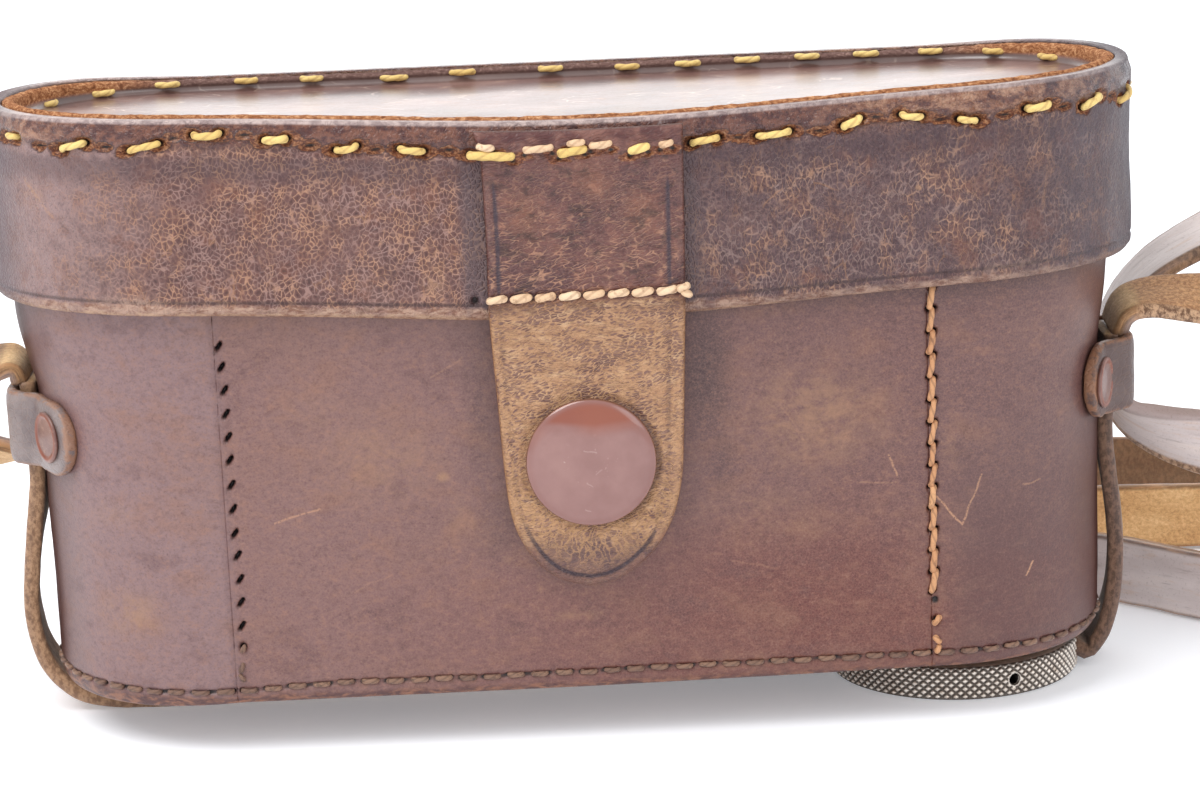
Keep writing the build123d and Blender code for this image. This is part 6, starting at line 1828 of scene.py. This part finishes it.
def knob_mat():
    m = metal("knurled nickel", srgb(226, 214, 202), srgb(244, 237, 228), 0.30, spots_c=srgb(160, 132, 108), amount=0.45)
    rad, high = m.attr("rad"), m.attr("high")
    # grime in the grooves
    src = m.bsdf.inputs["Base Color"].links[0].from_socket
    groove = mul(m, m.band(rad, 17.47, 17.24), m.band(rad, 16.9, 17.1))
    c = m.mix(mul(m, groove, 0.88), src, srgb(66, 55, 49))
    # painted shade: the inside of the screw holes drawn near black
    c = m.mix(mul(m, m.band(rad, 17.15, 16.8), m.band(high, 0.35, 0.5), m.band(high, KH - 0.35, KH - 0.5)), c, srgb(16, 10, 8))
    m.put(m.bsdf.inputs["Base Color"], c)
    m.bsdf.inputs["Metallic"].default_value = 0.75
    return m.mat


def fabric(name, lo, hi, size, cad=True):
    m = NT(name)
    p = m.rest(cad)
    f1 = m.noise(p, size, 5, 0.72)
    f2 = m.noise(p, size * 14, 4, 0.6)
    wv = m.cells(m.warp(p, size * 4, size), (size * 1.2,) * 3)
    c = m.mix(f1, lo, hi)
    c = m.mix(m.math("MULTIPLY", m.band(f2, 0.45, 0.66), 0.4), c, lo)
    m.set(Base_Color=c, Roughness=0.92, Normal=m.bump(m.math("ADD", f1, wv), 0.12, 0.9))
    m.bsdf.inputs["Sheen Weight"].default_value = 0.5
    m.bsdf.inputs["Sheen Roughness"].default_value = 0.4
    return m.mat


def assign(mat, *names):
    for n in names:
        ob = bpy.data.objects[n]
        ob.data.materials.clear()
        ob.data.materials.append(mat)
        for poly in ob.data.polygons:
            poly.material_index = 0


lid_mat = lid_leather()
assign(lid_mat, "lid_band_leather")
assign(top_leather(), "lid_top")
body_mat = body_leather()
assign(body_mat, "body_front", "body_wrap")
assign(flap_leather(), "flap_leather")
st_mat = strap_leather()
assign(st_mat, "free_strap", "sling_strap")
assign(keeper_leather(), "keeper_loop_left", "keeper_loop_right", "hinge_leather")
assign(thread_mat("yellow thread", srgb(206, 168, 92), srgb(240, 214, 138), srgb(140, 96, 54), 0.35), "rim_stitches")
assign(thread_mat("cream thread", srgb(206, 164, 124), srgb(240, 214, 180), srgb(132, 90, 64), 0.45), "flap_stitches")
assign(thread_mat("orange thread", srgb(178, 122, 84), srgb(216, 166, 120), srgb(74, 44, 32), 0.35), "right_seam_stitches")
assign(thread_mat("dark thread", srgb(92, 66, 56), srgb(148, 114, 92), srgb(44, 28, 26), 0.5), "base_stitches", "left_seam_stitches",
       "hinge_body_stitches", "hinge_lid_stitches")
assign(enamel(), "press_cap")
assign(knob_mat(), "knob_metal")
assign(rivet_mat(), "rivets_left", "rivets_right")

pile = fabric("lining", srgb(104, 50, 42), srgb(150, 84, 70), 0.35)
board = fabric("board", srgb(138, 122, 100), srgb(168, 152, 128), 0.8)
base_l = NT("base leather")
bp = base_l.rest(True)
bf, bb = base_l.noise(bp, 0.5, 5, 0.7), base_l.noise(bp, 9, 4, 0.6)
bc = base_l.ramp(bb, [(0.3, srgb(96, 68, 58)), (0.7, srgb(136, 100, 84))])
bc = base_l.mix(base_l.math("MULTIPLY", base_l.band(bf, 0.5, 0.72), 0.5), bc, srgb(170, 132, 108))
bc = base_l.mix(base_l.math("MULTIPLY", base_l.band(base_l.cells(base_l.warp(bp, 8, 3), (9, 4, 6)), 0.03, 0.005), 0.6), bc, srgb(190, 150, 120))
base_l.set(Base_Color=bc, Roughness=base_l.math("ADD", 0.42, base_l.math("MULTIPLY", bf, 0.25)), Normal=base_l.bump(bf, 0.1, 0.8))
brass = metal("brass", srgb(176, 136, 74), srgb(214, 176, 110), 0.32, cad=True, spots_c=srgb(110, 78, 44), amount=0.5).mat
bright = metal("bright metal", srgb(186, 180, 172), srgb(216, 210, 204), 0.28, cad=True, spots_c=srgb(140, 124, 108), amount=0.4).mat
KEPT = {
    "base_panel": base_l.mat, "base_stiffener": board, "body_lining": pile, "base_lining": pile, "lid_lining": pile,
    "snap_stud": bright, "snap_stud_backplate": bright, "snap_socket": brass, "snap_spring": brass,
    "tripod_bush": brass, "tripod_stud": bright, "tripod_retaining_ring": bright,
}
for node, mat in KEPT.items():
    assign(mat, node)
    ob = bpy.data.objects[node]
    if node in ("snap_stud", "snap_stud_backplate", "snap_socket", "tripod_bush", "tripod_stud", "tripod_retaining_ring", "base_panel"):
        mod = ob.modifiers.new("edges", "BEVEL")
        mod.width = 0.00012
        mod.segments = 2
        mod.limit_method = "ANGLE"
        mod.angle_limit = math.radians(40)

# ---------------------------------------------------------- floor and light
bpy.ops.mesh.primitive_plane_add(size=8.0, location=(0, 1.0, 0))
floor = bpy.context.object
floor.name = "floor"
fm = NT("floor")
fp = fm.node("ShaderNodeTexCoord").outputs["Object"]
fm.set(Base_Color=fm.mix(fm.noise(fp, 0.4, 2), (0.86, 0.875, 0.91), (0.88, 0.89, 0.92)), Roughness=0.9)
fm.bsdf.inputs["Specular IOR Level"].default_value = 0.1
# the floor glows a little: painted light that lightens the shadows under the case
fm.bsdf.inputs["Emission Color"].default_value = (0.90, 0.94, 1.0, 1.0)
fm.bsdf.inputs["Emission Strength"].default_value = 0.22
floor.data.materials.append(fm.mat)

world = bpy.data.worlds.new("world")
scene.world = world
world.use_nodes = True
world.node_tree.nodes["Background"].inputs[0].default_value = (1.0, 1.0, 1.0, 1.0)
world.node_tree.nodes["Background"].inputs[1].default_value = 1.0


def area(name, loc, aim, size, power, colour=(1, 1, 1)):
    d = bpy.data.lights.new(name, "AREA")
    d.shape = "RECTANGLE"
    d.size, d.size_y = size
    d.energy = power
    d.color = colour
    o = bpy.data.objects.new(name, d)
    scene.collection.objects.link(o)
    o.location = loc
    o.rotation_euler = (Vector(aim) - Vector(loc)).to_track_quat("-Z", "Y").to_euler()
    return o


area("key", (-0.55, -0.35, 1.05), (0, 0, 0.04), (0.7, 0.7), 9.0)
area("fill", (0.75, -0.75, 0.6), (0, 0, 0.04), (0.6, 0.6), 2.0)
back = area("back", (0.1, 1.45, 0.52), (0, 0, 0.08), (2.4, 0.7), 5.0)
for lamp in (x for x in scene.objects if x.type == "LIGHT"):
    lamp.visible_camera = False
